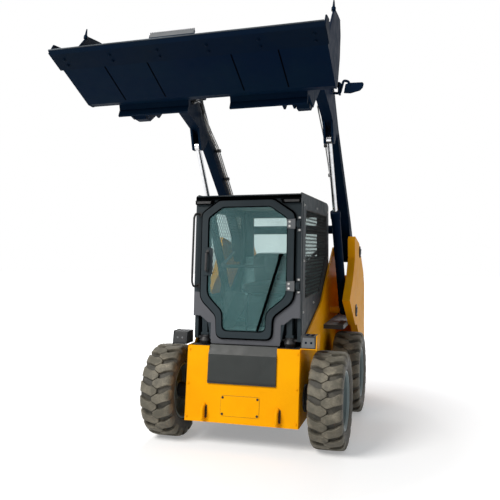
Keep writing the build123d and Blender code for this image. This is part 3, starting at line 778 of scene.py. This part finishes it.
def neck_plates():
    """Pale plates beside the door's neck; they end along its rounded outline."""
    bm = bmesh.new()
    leaf = rounded_loop(door_leaf_wider, door_rounding, 9)
    foot = (
        (0.000, 0.816), (0.292, 0.816), (0.298, 0.860), (0.298, 0.986),
        (0.324, 0.988), (0.392, 1.043), (0.453, 1.043), (0.453, 1.240),
    )
    for side in (-1, 1):
        inner = [point for point in leaf if side * point.x > 0.0 and point.y < 1.245]
        inner.sort(key=lambda point: (-point.y, -side * point.x))
        outline = front_view(foot, 0.0, side) + front_view([point.xy for point in inner], 0.0)
        prism(bm, outline + [on_cab(0.000, 0.860)], forward * 0.004)
    finish("neck_plates", bm, "neck_grey", bevel=0.001)


def lamp_bar(side, word):
    """Slim lamp under the roof's corner: its housing and its glass."""
    housing = front_view(((0.300, 1.972), (0.452, 1.972), (0.452, 2.008), (0.284, 2.008)), 0.020, side)
    plate("lamp_housing_" + word, housing, forward * 0.012, "joint_black", bevel=0.002)
    glass = front_view(((0.322, 1.980), (0.440, 1.980), (0.440, 2.000), (0.312, 2.000)), 0.032, side)
    plate("lamp_glass_" + word, glass, forward * 0.003, "black_plastic", bevel=0.001)


def mount_stud(side, word):
    """Rubber mount between the frame and the cab's lower corner, with its nut."""
    bm = bmesh.new()
    turned(bm, at(side * 0.362, -0.060, 0.8005), up, 28,
           (0.0, 0.034, 0.034, 0.047), (0.034, 0.064, 0.047, 0.030))
    foot = at(side * 0.362, -0.035, 0.866)
    turned(bm, foot, up, 28, (0.0, 0.010, 0.046, 0.046), (0.010, 0.028, 0.034, 0.030))
    bolt(bm, foot + up * 0.028, up, 0.022)
    finish("mount_stud_" + word, bm, "rubber_seal", bevel=0.001)


def grab_rail():
    """Bent rail up the cab's right front post, with its two feet."""
    bm = bmesh.new()
    bends = (
        (-0.420, 1.290, 0.0), (-0.446, 1.282, 0.050), (-0.452, 1.330, 0.068),
        (-0.448, 1.860, 0.068), (-0.440, 1.898, 0.050), (-0.420, 1.890, 0.0),
    )
    path_tube(bm, spots(on_cab, bends), 0.009, 14, bend=0.03)
    for height in (1.290, 1.890):
        bar(bm, on_cab(-0.420, height, 0.0), on_cab(-0.420, height, 0.006), 0.019, 24)
    finish("grab_rail", bm, "matt_black")


def crossings(window, offset, slope):
    """Where the line height = offset + slope * behind meets a window's outline."""
    found = []
    for (b0, z0), (b1, z1) in zip(window, window[1:] + window[:1]):
        first = z0 - offset - slope * b0
        second = z1 - offset - slope * b1
        if (first > 0) != (second > 0):
            share = first / (first - second)
            found.append((b0 + share * (b1 - b0), z0 + share * (z1 - z0)))
    return sorted(found)


def guard_mesh(side, word, window):
    """Two layers of slanted wires that end at the window's outline."""
    bm = bmesh.new()
    lean, pitch, wire = 1.15, 0.062, 0.0024
    lowest, highest = -1.0, 4.0
    for slope in (lean, -lean):
        x = side * guard_x + side * math.copysign(0.0015, slope)
        offset = lowest
        while offset < highest:
            ends = crossings(window, offset, slope)
            if len(ends) == 2:
                bar(bm, at(x, *ends[0]), at(x, *ends[1]), wire, 5)
            offset += pitch
    finish("guard_mesh_" + word, bm, "matt_black")


def guards(side, word):
    """Steel mesh over the side window, its frame, and the bolts and the rib of the side."""
    window = [(0.110, 1.180), (0.170, 1.930), (1.295, 1.930), (1.295, 1.480), (0.900, 1.180)]
    guard_mesh(side, word, window)
    rim = rounded_loop(side_view(side * guard_x, window), 0.04)
    tube("guard_frame_" + word, rim, 0.0075, 8, "matt_black", closed=True)
    places = (
        (0.020, 1.080), (0.060, 1.500), (0.100, 1.960), (0.700, 1.965),
        (1.340, 1.965), (1.350, 1.500), (0.960, 1.100), (0.500, 1.120),
    )
    bolts("side_bolts_" + word, side_view(side * cab_side, places), (side, 0, 0), 0.016, "zinc_steel")
    pillar = side_view(side * cab_side, ((-0.055, 0.900), (0.040, 1.990), (0.075, 1.990), (-0.020, 0.900)))
    plate("pillar_rib_" + word, pillar, (side * 0.004, 0, 0), "cab_grey", bevel=0.0015)


def roof_trim():
    """Pressed ribs of the roof and drip rails."""
    bm = bmesh.new()
    for x in (-0.28, -0.14, 0.0, 0.14, 0.28):
        prism(bm, quad(at, x - 0.030, x + 0.030, (0.12, roof_top), (1.24, roof_top)), up * 0.007)
    finish("roof_ribs", bm, "cab_grey", bevel=0.004)
    bm = bmesh.new()
    for side in (-1, 1):
        prism(bm, quad(at, side * 0.440, side * 0.452, (0.02, roof_top), (1.33, roof_top)), up * 0.010)
    finish("drip_rails", bm, "matt_black", bevel=0.002)


door_panel()
plate("door_pane", door_loop(door_window, 0.018), forward * 0.006, "window_glass", "cab_door",
      replaces=("door_glass",), slot="window_glass")
door_seals()
door_latch()
wiper()
hinge_leaves()
hinge_posts()
neck_plates()
both_sides(lamp_bar)
both_sides(mount_stud)
plate("roof_lip", quad(at, -0.452, 0.452, (-0.0205, 2.014), (-0.017, 2.038)), forward * 0.010,
      "joint_black", bevel=0.002)
grab_rail()
both_sides(guards)
roof_trim()


# ---------------- inside the cab


def cushion(name, lowest, highest, crown, lean=0.0):
    """Upholstered pad: a rounded box with a crowned face and sewn channels."""
    middle, half = (lowest + highest) / 2, (highest - lowest) / 2
    seam_x, seam_y = 0.52, 0.15
    bm = bmesh.new()
    bmesh.ops.create_cube(bm, size=2.0)
    bmesh.ops.subdivide_edges(bm, edges=bm.edges, cuts=14, use_grid_fill=True)
    for corner in bm.verts:
        x, y, z = corner.co
        near_edges = abs(x * y) ** 6 + abs(z * x) ** 6 + abs(y * z) ** 6
        pull = 1.0 - 0.10 * near_edges
        channel = sum(math.exp(-((x - seam) / 0.045) ** 2) for seam in (-seam_x, seam_x))
        if abs(x) < seam_x:
            channel += math.exp(-((y - seam_y) / 0.05) ** 2)
        lift = crown * (1 - x * x) * (1 - y * y) - 0.010 * channel * (1 - y ** 4)
        corner.co = (x * half.x * pull, y * half.y * pull, z * half.z * pull + lift * max(z, 0.0))
    turn = Matrix.Translation(middle) @ Matrix.Rotation(lean, 4, "X")
    bmesh.ops.transform(bm, matrix=turn, verts=bm.verts)
    pad = finish(name, bm, "seat_cloth", replaces=("seat",), slot="seat_cloth", smooth_angle=60)
    soft = pad.modifiers.new("soft", "SUBSURF")
    soft.levels = 1
    soft.render_levels = 1


def cab_lining():
    """Pale trim on the rear wall, under the roof and on the floor."""
    # Half width, low edge and high edge as (behind, height), depth.
    sheets = [
        (0.420, (0.975, 0.900), (1.345, 1.440), (0, -0.010, 0.006)),
        (0.420, (1.362, 1.445), (1.362, 1.512), (0, -0.006, 0)),
        (0.415, (0.060, 2.006), (1.350, 2.006), (0, 0, -0.012)),
        (0.280, (-0.040, cab_floor), (0.560, cab_floor), (0, 0, 0.008)),
    ]
    bm = bmesh.new()
    for half_width, low, high, depth in sheets:
        prism(bm, quad(at, -half_width, half_width, low, high), depth)
    finish("cab_lining", bm, "lining_grey", bevel=0.003)


def seat():
    """Cushion, back and the box they stand on."""
    cushion("seat_cushion", at(-0.225, 0.520, 1.180), at(0.225, 0.930, 1.275), 0.022)
    cushion("seat_back", at(-0.215, 0.790, 1.350), at(0.215, 1.120, 1.440), 0.026, math.radians(-77))
    foot, top = (0.585, cab_floor), (0.560, 1.165)
    base = [at(-0.200, *foot), at(0.200, *foot), at(0.215, *top), at(-0.215, *top)]
    plate("seat_base", base, (0, 0.380, 0), "black_plastic", replaces=("seat",), bevel=0.012)


def console(side, word):
    """Arm rest console and the stick in front of it."""
    profile = [
        (0.250, cab_floor), (0.500, cab_floor), (0.900, 1.020), (0.900, 1.170),
        (0.560, 1.200), (0.330, 1.060), (0.250, 0.960),
    ]
    plate("console_" + word, side_view(side * 0.290, profile), (side * 0.100, 0, 0), "black_plastic",
          bevel=0.014)
    bm = bmesh.new()
    bends = ((0.335, 0.300, 0.990), (0.330, 0.290, 1.080), (0.320, 0.280, 1.150))
    path_tube(bm, spots(at, bends, side), 0.008, 10, bend=0.03)
    turned(bm, at(side * 0.320, 0.280, 0.0), up, 14,
           (1.150, 1.200, 0.020, 0.024), (1.200, 1.270, 0.024, 0.020), (1.270, 1.296, 0.020, 0.012))
    bar(bm, at(side * 0.335, 0.302, 0.985), at(side * 0.335, 0.300, 1.030), 0.034, 20, 0.014)
    finish("control_stick_" + word, bm, "rubber_seal", bevel=0.001)


def brake_lever():
    """Thin lever on the cab's floor with its cross grip and its side link."""
    bm = bmesh.new()
    foot = at(-0.055, 0.120, cab_floor)
    path_tube(bm, [foot, at(-0.050, 0.115, 1.000), at(-0.030, 0.110, 1.225)], 0.007, 8, bend=0.05)
    bar(bm, at(-0.085, 0.110, 1.255), at(0.030, 0.110, 1.195), 0.007, 10)
    bends = ((-0.040, 0.112, 1.130), (0.060, 0.108, 1.150), (0.110, 0.104, 1.200), (0.170, 0.100, 1.205))
    path_tube(bm, spots(at, bends), 0.005, 8, bend=0.04)
    bar(bm, foot, at(-0.055, 0.120, 0.880), 0.026, 20, 0.014)
    finish("brake_lever", bm, "joint_black")


def display():
    """Screen box on its bracket, and the glass in front."""
    bm = bmesh.new()
    prism(bm, quad(at, 0.110, 0.345, (0.110, 1.395), (0.104, 1.545)), (0, 0.055, 0))
    bar(bm, at(0.330, 0.140, 1.480), at(0.424, 0.140, 1.500), 0.012, 12)
    finish("display_box", bm, "black_plastic", bevel=0.008)
    plate("display_glass", quad(at, 0.130, 0.325, (0.1065, 1.412), (0.1010, 1.528)), forward * 0.002,
          "matt_black", bevel=0.001)


cab_lining()
seat()
both_sides(console)
brake_lever()
display()
lap_bar = ((-0.410, 0.900, 1.560), (-0.380, 0.420, 1.440), (0.380, 0.420, 1.440), (0.410, 0.900, 1.560))
tube("lap_bar", spots(at, lap_bar), 0.016, 12, "rubber_seal", bend=0.08)


# ---------------- front of the frame


def front_cover():
    """Cover in the middle of the yellow plate, with its joint and its bolts."""
    left, right, low, high = -0.165, 0.155, 0.262, 0.420
    outline = quad(on_plate, left, right, (low, 0.0), (high, 0.0))
    plate("front_cover", outline, forward * 0.0025, "body_yellow", bevel=0.001)
    inset = 0.015
    places = quad(on_plate, left + inset, right - inset, (low + inset, 0.0025), (high - inset, 0.0025))
    bolts("front_cover_bolts", places, forward, 0.014, "matt_black")
    joint = rounded_loop(quad(on_plate, left, right, (low, 0.0005), (high, 0.0005)), 0.012)
    tube("front_cover_joint", joint, 0.0016, 6, "matt_black", closed=True)


def tow_ring(side, word):
    """Bent ring on the plate, and the painted shadow beside it: a flat dark brown patch for the shade by the ring.
    """
    x = side * 0.305
    bends = ((0.232, 0.0), (0.232, 0.040), (0.316, 0.052), (0.344, 0.0))
    tube("tow_ring_" + word, [on_plate(x, *bend) for bend in bends], 0.0145, 14, "body_yellow", bend=0.03)
    # Painted shadow: a flat dark brown patch beside the ring stands for the shade there.
    shadow_outline = quad(on_plate, x - 0.010, x + 0.026, (0.236, 0.003), (0.340, 0.003))
    plate("tow_shadow_" + word, rounded_loop(shadow_outline, 0.012, 5), (0, 0.006, 0), "painted_shadow_brown")


def step_place(x, height, ahead):
    """Point this far ahead of the step's leaning face."""
    return at(x, -0.192 + 0.234 * (height - 0.818) - ahead, height)


def step(side, word):
    """Step on the frame's corner, with its paler front, its studs and its bracket."""
    inner, outer = side * 0.478, side * 0.598
    section = [(-0.192, 0.818), (-0.170, 0.912), (-0.034, 0.914), (-0.034, 0.818)]
    plate("step_shell_" + word, side_view(inner, section), (outer - inner, 0, 0), "chassis_black",
          replaces=("step_box_" + word,), bevel=0.005)
    low, high = 0.826, 0.902
    corners = [
        (inner + side * 0.008, low), (outer - side * 0.008, low),
        (outer - side * 0.014, high), (inner + side * 0.014, high),
    ]
    face = [step_place(x, height, 0.0005) for x, height in corners]
    plate("step_face_" + word, face, forward * 0.002, "hinge_grey" if side > 0 else "matt_black", bevel=0.001)
    studs = bmesh.new()
    for column in (0.040, 0.082):
        x = inner + side * column
        centre = step_place(x, 0.864, 0.0025)
        bar(studs, centre, centre + Vector((0, -0.003, 0.0007)), 0.009, 18, 0.007)
        for row in range(3):
            centre = at(x, -0.140 + 0.038 * row, 0.9135)
            bar(studs, centre, centre + up * 0.003, 0.012, 18, 0.010)
    finish("step_studs_" + word, studs, "edge_steel" if side > 0 else "hinge_grey")
    bracket = bmesh.new()
    edge_x = outer if side > 0 else outer - side * 0.002
    edge = ((-0.196, 0.806), (-0.030, 0.806), (-0.030, 0.918), (-0.172, 0.918))
    prism(bracket, side_view(edge_x, edge), (side * 0.006, 0, 0))
    prism(bracket, quad(at, side * 0.477, side * 0.604, (-0.192, 0.812), (-0.030, 0.812)), up * 0.006)
    finish("step_bracket_" + word, bracket, "body_yellow" if side > 0 else "chassis_black", bevel=0.001)


plate("step_panel_lip", quad(on_plate, -0.284, 0.284, (0.518, 0.014), (0.530, 0.022)), (0, 0.006, 0),
      "chassis_black", bevel=0.0015)
front_cover()
bolts("plate_bolts", [on_plate(x, height) for x in (-0.452, 0.452) for height in (0.770, 0.500, 0.240)],
      forward, 0.015, "body_yellow")
both_sides(tow_ring)
both_sides(step)


# ---------------- bucket

bucket_side = 0.869
bucket_up = bucket_way(0.0, 1.0)
bucket_back = bucket_way(-1.0, 0.0)


def side_fittings(side, word):
    """Cutter, spike and rim on a side plate of the bucket."""
    cutter = [(0.590, -0.014), (0.440, -0.014), (0.420, 0.045), (0.500, 0.120), (0.575, 0.075)]
    outline = [in_bucket(side * 0.8755, *corner) for corner in cutter]
    plate("side_cutter_" + word, outline, (side * 0.010, 0, 0), "edge_steel", "bucket", bevel=0.002)
    x = side * bucket_side
    spike = bmesh.new()
    bar(spike, in_bucket(x, 0.322, 0.400), in_bucket(x, 0.334, 0.458), 0.010, 12, 0.004)
    bar(spike, in_bucket(x, 0.318, 0.385), in_bucket(x, 0.323, 0.405), 0.014, 12)
    finish("edge_spike_" + word, spike, "boom_black", "bucket")
    rim = ((0.440, 0.025), (0.306, 0.411), (0.170, 0.495), (0.096, 0.534))
    tube("side_rim_" + word, [in_bucket(x, *corner) for corner in rim], 0.007, 8, "boom_black", "bucket")


def grip_step():
    """Toothed grip rail on the back plate's top edge."""
    bm = bmesh.new()
    section = (
        (0.0965, 0.560), (0.1065, 0.560), (0.1085, 0.590),
        (0.1045, 0.600), (0.0985, 0.600), (0.0945, 0.590),
    )
    prism(bm, [in_bucket(-0.505, *corner) for corner in section], (0.343, 0, 0))
    teeth, first_x, run, tooth_share = 26, -0.509, 0.351, 0.62
    for tooth in range(teeth):
        left = first_x + run * tooth / teeth
        right = first_x + run * (tooth + tooth_share) / teeth
        prism(bm, quad(in_bucket, left, right, (0.0965, 0.598), (0.1065, 0.598)), bucket_up * 0.010)
    finish("grip_teeth", bm, "hinge_grey", "bucket", bevel=0.0006)


def coupler_locks(side, word):
    """Lock plates behind the bucket and the bent lever beside them."""
    bm = bmesh.new()
    for x in (0.250, 0.400):
        corners = ((-0.028, 0.010), (0.028, 0.010), (0.020, 0.180), (-0.020, 0.180))
        outline = [in_bucket(side * (x + aside), -0.045, above) for aside, above in corners]
        prism(bm, outline, bucket_back * 0.022)
    bends = ((0.250, -0.070, 0.160), (0.300, -0.100, 0.300), (0.420, -0.100, 0.340))
    path_tube(bm, spots(in_bucket, bends, side), 0.010, 10, bend=0.03)
    finish("coupler_locks_" + word, bm, "matt_black", "bucket", bevel=0.002)


def bucket_trim():
    """Seams and bolts of the floor, a thin steel strip that paints the highlight along the edge, side fittings,
    grip step and coupler.
    """
    bm = bmesh.new()
    for x in (-0.570, -0.270, 0.285, 0.580):
        seam = quad(in_bucket, x - 0.004, x + 0.004, (0.095, -0.0015), (0.430, -0.0015))
        prism(bm, seam, bucket_up * 0.003)
    finish("floor_seams", bm, "joint_black", "bucket", bevel=0.0008)
    across = (-0.800, -0.478, -0.156, 0.164, 0.486, 0.814)
    places = [in_bucket(x, out, -0.018) for x in across for out in (0.478, 0.530)]
    bolts("edge_bolts", places, -bucket_up, 0.018, "edge_steel", "bucket")
    # Painted highlight: a thin steel strip along the blade's edge stands for the line of light there.
    plate("edge_highlight", quad(in_bucket, -0.878, 0.878, (0.604, -0.0036), (0.6085, -0.001)),
          bucket_way(0.0010, 0.0022), "highlight_steel", "bucket")
    both_sides(side_fittings)
    grip_step()
    across = (-0.640, -0.430, -0.200, 0.200, 0.430, 0.640)
    places = [in_bucket(x, -0.045, above) for x in across for above in (0.020, 0.380)]
    bolts("coupler_bolts", places, bucket_back, 0.022, "edge_steel", "bucket")
    both_sides(coupler_locks)


bucket_trim()


# ---------------- lift arms

# The cross tube ends on the arms' inner faces.
arm_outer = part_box("arm_left")[1].x
arm_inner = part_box("cross_tube")[1].x


def arm_plates(side, word):
    """Pin caps and welded ribs on an arm's outer face."""
    x, outward = side * arm_outer, Vector((side, 0, 0))
    bm = bmesh.new()
    turned(bm, at(x, *arm_pivot), outward, 32, (0.0, 0.006, 0.062, 0.062))
    turned(bm, at(x, *tilt_foot), outward, 32, (0.0, 0.006, 0.050, 0.050), (0.006, 0.016, 0.034, 0.030))
    finish("pin_caps_" + word, bm, "boom_black", "boom", bevel=0.0015)
    bm = bmesh.new()
    ribs = (((1.560, 1.800), (0.640, 2.610), 0.012), ((1.620, 1.862), (0.700, 2.652), -0.012))
    for rear, front, wide in ribs:
        first, second, across = at(x, *rear), at(x, *front), Vector((0, wide, wide))
        prism(bm, [first, second, second + across, first + across], outward * 0.003)
    finish("arm_ribs_" + word, bm, "boom_black", "boom", bevel=0.001)


def arm_lines(side, word):
    """Oil tubes along an arm's inner face, their clamps, and hoses over the bridge."""
    inner = side * arm_inner
    lines = bmesh.new()
    for index in range(3):
        x, low, ahead = inner - side * (0.012 + 0.016 * index), 0.004 * index, 0.040 * index
        bends = ((1.560, 1.820 + low), (1.420, 1.985), (0.760, 2.585), (0.560, 2.700), (0.430 - ahead, 2.830))
        path_tube(lines, side_view(x, bends), 0.0058, 10, bend=0.06)
    finish("oil_tubes_" + word, lines, "zinc_steel", "boom")

    clamps = bmesh.new()
    tilt = Matrix.Rotation(math.radians(-42), 3, "X")
    outline = ((-0.014, -0.011), (0.014, -0.011), (0.014, 0.011), (-0.014, 0.011))
    corners = [tilt @ Vector((0, *corner)) for corner in outline]
    for place in ((1.330, 2.067), (1.060, 2.312), (0.790, 2.558)):
        face = at(inner - side * 0.0005, *place)
        prism(clamps, [face + corner for corner in corners], (-side * 0.058, 0, 0))
    finish("tube_clamps_" + word, clamps, "rubber_seal", "boom", bevel=0.002)

    hoses = bmesh.new()
    for index, reach in enumerate((0.0, 0.026)):
        x, ahead = inner - side * (0.016 + 0.020 * index), 0.040 * index
        run = side_view(x, ((0.430 - ahead, 2.830), (0.380 - ahead, 2.885), (0.330, 2.925 + reach)))
        run += side_view(x - side * 0.008, ((0.230, 2.915 + reach), (0.130, 2.880 + reach)))
        path_tube(hoses, run, 0.0095, 10, bend=0.05)
        bar(hoses, run[0], run[0].lerp(run[1], 0.5), 0.0125, 12)
        bar(hoses, run[-1], run[-1].lerp(run[-2], 0.4), 0.0125, 12)
    finish("bridge_hoses_" + word, hoses, "hose_rubber", "boom")


def cylinder_trim(side, word):
    """Gland and ports of a lift cylinder, and the tube between the ports."""
    base, eye = at(side * 0.610, *lift_foot), at(side * 0.610, 0.430, 2.550)
    along = (eye - base).normalized()
    outward = along.cross(Vector((side, 0, 0))).normalized()
    if outward.z < 0:
        outward.negate()
    bm = bmesh.new()
    bar(bm, base + along * 1.068, base + along * 1.132, 0.0475, 36)
    for reach in (0.110, 1.030):
        start = base + along * reach + outward * 0.038
        bar(bm, start, start + outward * 0.022, 0.013, 12)
        bolt(bm, start + outward * 0.022, outward, 0.020)
    finish("lift_gland_" + word, bm, "boom_black", "lift_barrels", bevel=0.001)
    bends = ((0.110, 0.060), (0.150, 0.064), (0.990, 0.064), (1.030, 0.060))
    path = [base + along * reach + outward * height for reach, height in bends]
    tube("lift_tube_" + word, path, 0.006, 10, "zinc_steel", "lift_barrels", bend=0.02)


def hose_guard():
    """Guide arm at the left arm's neck: a clamp, a bent stay and a rounded guard plate."""
    paddle = (
        (0.742, 2.932), (0.800, 2.926), (0.880, 2.944), (0.904, 2.968),
        (0.912, 3.000), (0.902, 3.014), (0.790, 3.018), (0.756, 3.008),
    )
    outline = [at(x, 0.379, height) for x, height in paddle]
    plate("guard_paddle", outline, (0, 0.014, 0), "boom_black", "boom", bevel=0.005)
    bm = bmesh.new()
    bends = (
        (0.657, 0.372, 2.936), (0.712, 0.372, 2.930), (0.742, 0.378, 3.040),
        (0.780, 0.386, 3.030), (0.800, 0.386, 2.990),
    )
    path_tube(bm, spots(at, bends), 0.011, 12, bend=0.02)
    bar(bm, at(0.704, 0.430, 3.000), at(0.704, 0.345, 3.000), 0.022, 20)
    prism(bm, quad(at, 0.696, 0.712, (0.345, 2.926), (0.345, 3.020)), (0, 0.090, 0))
    bolt(bm, at(0.712, 0.390, 2.960), (1, 0, 0), 0.020)
    finish("guard_stay", bm, "boom_black", "boom", replaces=("hose_bracket",), bevel=0.002)


hose_guard()
both_sides(arm_plates)
both_sides(arm_lines)
both_sides(cylinder_trim)


# ---------------- towers, tail and hood

tower_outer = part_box("tower_left")[1].x
hood_front = (1.446, 1.430)
hood_rear = (2.190, 1.365)
hood_rib_lean = (1.402 - 1.330) / (1.470 - 2.215)


def tower_flange(side, word):
    """Folded front edge of a tower, in three straight runs."""
    inner, outer = side * 0.664, side * tower_outer
    bm = bmesh.new()
    edge = [(0.872, 1.107), (1.181, 1.330), (1.321, 1.500), (1.312, 1.690)]
    for low, high in zip(edge, edge[1:]):
        outline = [at(inner, *low), at(inner, *high), at(outer, *high), at(outer, *low)]
        prism(bm, outline, (0, -0.006, 0.004))
    finish("tower_flange_" + word, bm, "body_yellow", bevel=0.002)


def pivot_caps(side, word):
    """Caps over the pins of the arm and of the lift cylinder, each held by three bolts."""
    outward = Vector((side, 0, 0))
    bolt_circle = 0.047
    bm = bmesh.new()
    for place in (arm_pivot, lift_foot):
        centre = at(side * tower_outer, *place)
        bar(bm, centre, centre + outward * 0.008, 0.062, 36)
        bar(bm, centre + outward * 0.008, centre + outward * 0.015, 0.034, 30, 0.028)
        for turn in range(3):
            angle = math.tau * turn / 3 + 0.5
            round_place = Vector((side * 0.008, bolt_circle * math.cos(angle), bolt_circle * math.sin(angle)))
            bolt(bm, centre + round_place, outward, 0.014)
    finish("pivot_caps_" + word, bm, "chassis_black", bevel=0.001)


def tower_trim(side, word):
    """Flange, caps, lip over the rear wheel and tail lamp."""
    tower_flange(side, word)
    pivot_caps(side, word)
    lip = ((1.330, 0.830), (1.480, 0.820), (1.620, 0.720), (1.700, 0.560), (1.740, 0.430))
    tube("wheel_lip_" + word, side_view(side * 0.731, lip), 0.006, 10, "body_yellow")
    body = quad(at, side * 0.500, side * 0.640, (2.215, 0.980), (2.215, 1.110))
    plate("tail_lamp_body_" + word, body, (0, 0.030, 0), "matt_black", bevel=0.006)
    bm = bmesh.new()
    for near, far in ((0.512, 0.566), (0.574, 0.628)):
        prism(bm, quad(at, side * near, side * far, (2.245, 0.992), (2.245, 1.098)), (0, 0.008, 0))
    finish("tail_lens_" + word, bm, "red_lens", bevel=0.003)


def tail_trim():
    """Door handle, hoods of the louvres, bolts of the bumper and ribs of the hood."""
    bends = ((2.262, 0.860), (2.292, 0.860), (2.292, 0.980), (2.262, 0.980))
    tube("rear_door_handle", side_view(-0.330, bends), 0.008, 12, "matt_black", "rear_door", bend=0.012)
    bm = bmesh.new()
    for row in range(8):
        foot = 0.800 + 0.048 * row
        prism(bm, quad(at, -0.288, 0.288, (2.262, foot + 0.018), (2.268, foot + 0.006)), (0, 0.002, 0.003))
    finish("louvre_hoods", bm, "body_yellow", "rear_door", bevel=0.001)
    places = [at(x, 2.290, height) for x in (-0.640, -0.450, 0.450, 0.640) for height in (0.455, 0.515)]
    bolts("bumper_bolts", places, (0, 1, 0), 0.024, "zinc_steel")
    bm = bmesh.new()
    rib_width = 0.030
    hood_lean = (hood_rear[1] - hood_front[1]) / (hood_rear[0] - hood_front[0])
    for rib in range(7):
        near = 1.600 + 0.060 * rib
        height = hood_front[1] + (near - hood_front[0]) * hood_lean
        far_height = height - 0.003 + rib_width * hood_rib_lean
        outline = quad(at, -0.300, 0.300, (near, height - 0.002), (near + rib_width, far_height))
        prism(bm, outline, up * 0.010)
    finish("hood_louvres", bm, "body_yellow", "hood", bevel=0.003)


both_sides(tower_trim)
tail_trim()


# ---------------- stage


def studio_world():
    """White for the camera, plain soft light for the object."""
    world = bpy.data.worlds.new("studio")
    world.use_nodes = True
    scene.world = world
    tree = world.node_tree
    tree.nodes.clear()
    soft = add(tree, "ShaderNodeBackground", (0.92, 0.95, 1.0, 1.0), 0.27)
    white = add(tree, "ShaderNodeBackground", (1.0, 1.0, 1.0, 1.0), 1.0)
    backgrounds = [node.outputs["Background"] for node in (soft, white)]
    either = add(tree, "ShaderNodeMixShader", shown_plainly(tree), *backgrounds)
    add(tree, "ShaderNodeOutputWorld", either.outputs["Shader"])


def studio_floor():
    """Pale floor that takes shadows near the machine and glows white further away."""
    bpy.ops.mesh.primitive_plane_add(size=60.0)
    floor = bpy.context.object
    floor.name = "floor"
    material, tree, shader = new_material("floor")
    feed(tree, shader, Base_Color=(0.84, 0.84, 0.84, 1.0), Roughness=0.95, Specular_IOR_Level=0.0)
    distance = add(tree, "ShaderNodeVectorMath", position(tree), settings={"operation": "LENGTH"})
    far = ramp(tree, distance.outputs["Value"], 1.6, 4.2, 0.30, 1.0)
    glow = add(tree, "ShaderNodeEmission", Strength=product(tree, shown_plainly(tree), far))
    both = add(tree, "ShaderNodeAddShader", shader.outputs["BSDF"], glow.outputs["Emission"])
    feed(tree, tree.nodes["Material Output"], both.outputs["Shader"])
    floor.data.materials.append(material)


def lamp(name, place, target, power, colour):
    """Square soft box that looks at its target."""
    light = bpy.data.lights.new(name, "AREA")
    light.size = 4.0
    light.energy = power
    light.color = colour
    holder = bpy.data.objects.new(name, light)
    holder.location = place
    holder.rotation_euler = (Vector(target) - Vector(place)).to_track_quat("-Z", "Y").to_euler()
    scene.collection.objects.link(holder)


def camera():
    """Camera at the photograph's viewing angle."""
    data = bpy.data.cameras.new("camera")
    data.sensor_width = 36.0
    data.lens = 44.19
    data.shift_x = 0.0186
    holder = bpy.data.objects.new("camera", data)
    azimuth, pitch, roll = 0.2929, -0.0034, 0.0017
    ahead = Vector((-math.sin(azimuth), math.cos(azimuth), math.tan(pitch))).normalized()
    turn = ahead.to_track_quat("-Z", "Y") @ Matrix.Rotation(-roll, 4, "Z").to_quaternion()
    holder.rotation_euler = turn.to_euler()
    holder.location = (1.4152, -5.2957, 1.6063)
    scene.collection.objects.link(holder)
    scene.camera = holder


studio_world()
studio_floor()
lamp("key", (-3.5, -6.5, 6.5), (0, -0.5, 1.2), 760, (1.0, 0.98, 0.95))
lamp("fill", (6.5, -3.0, 3.5), (0, 0, 1.2), 18, (0.92, 0.96, 1.0))
lamp("back", (-1.0, 7.0, 6.0), (0, 0, 1.5), 300, (0.95, 0.97, 1.0))
camera()

scene.view_settings.view_transform = "Standard"
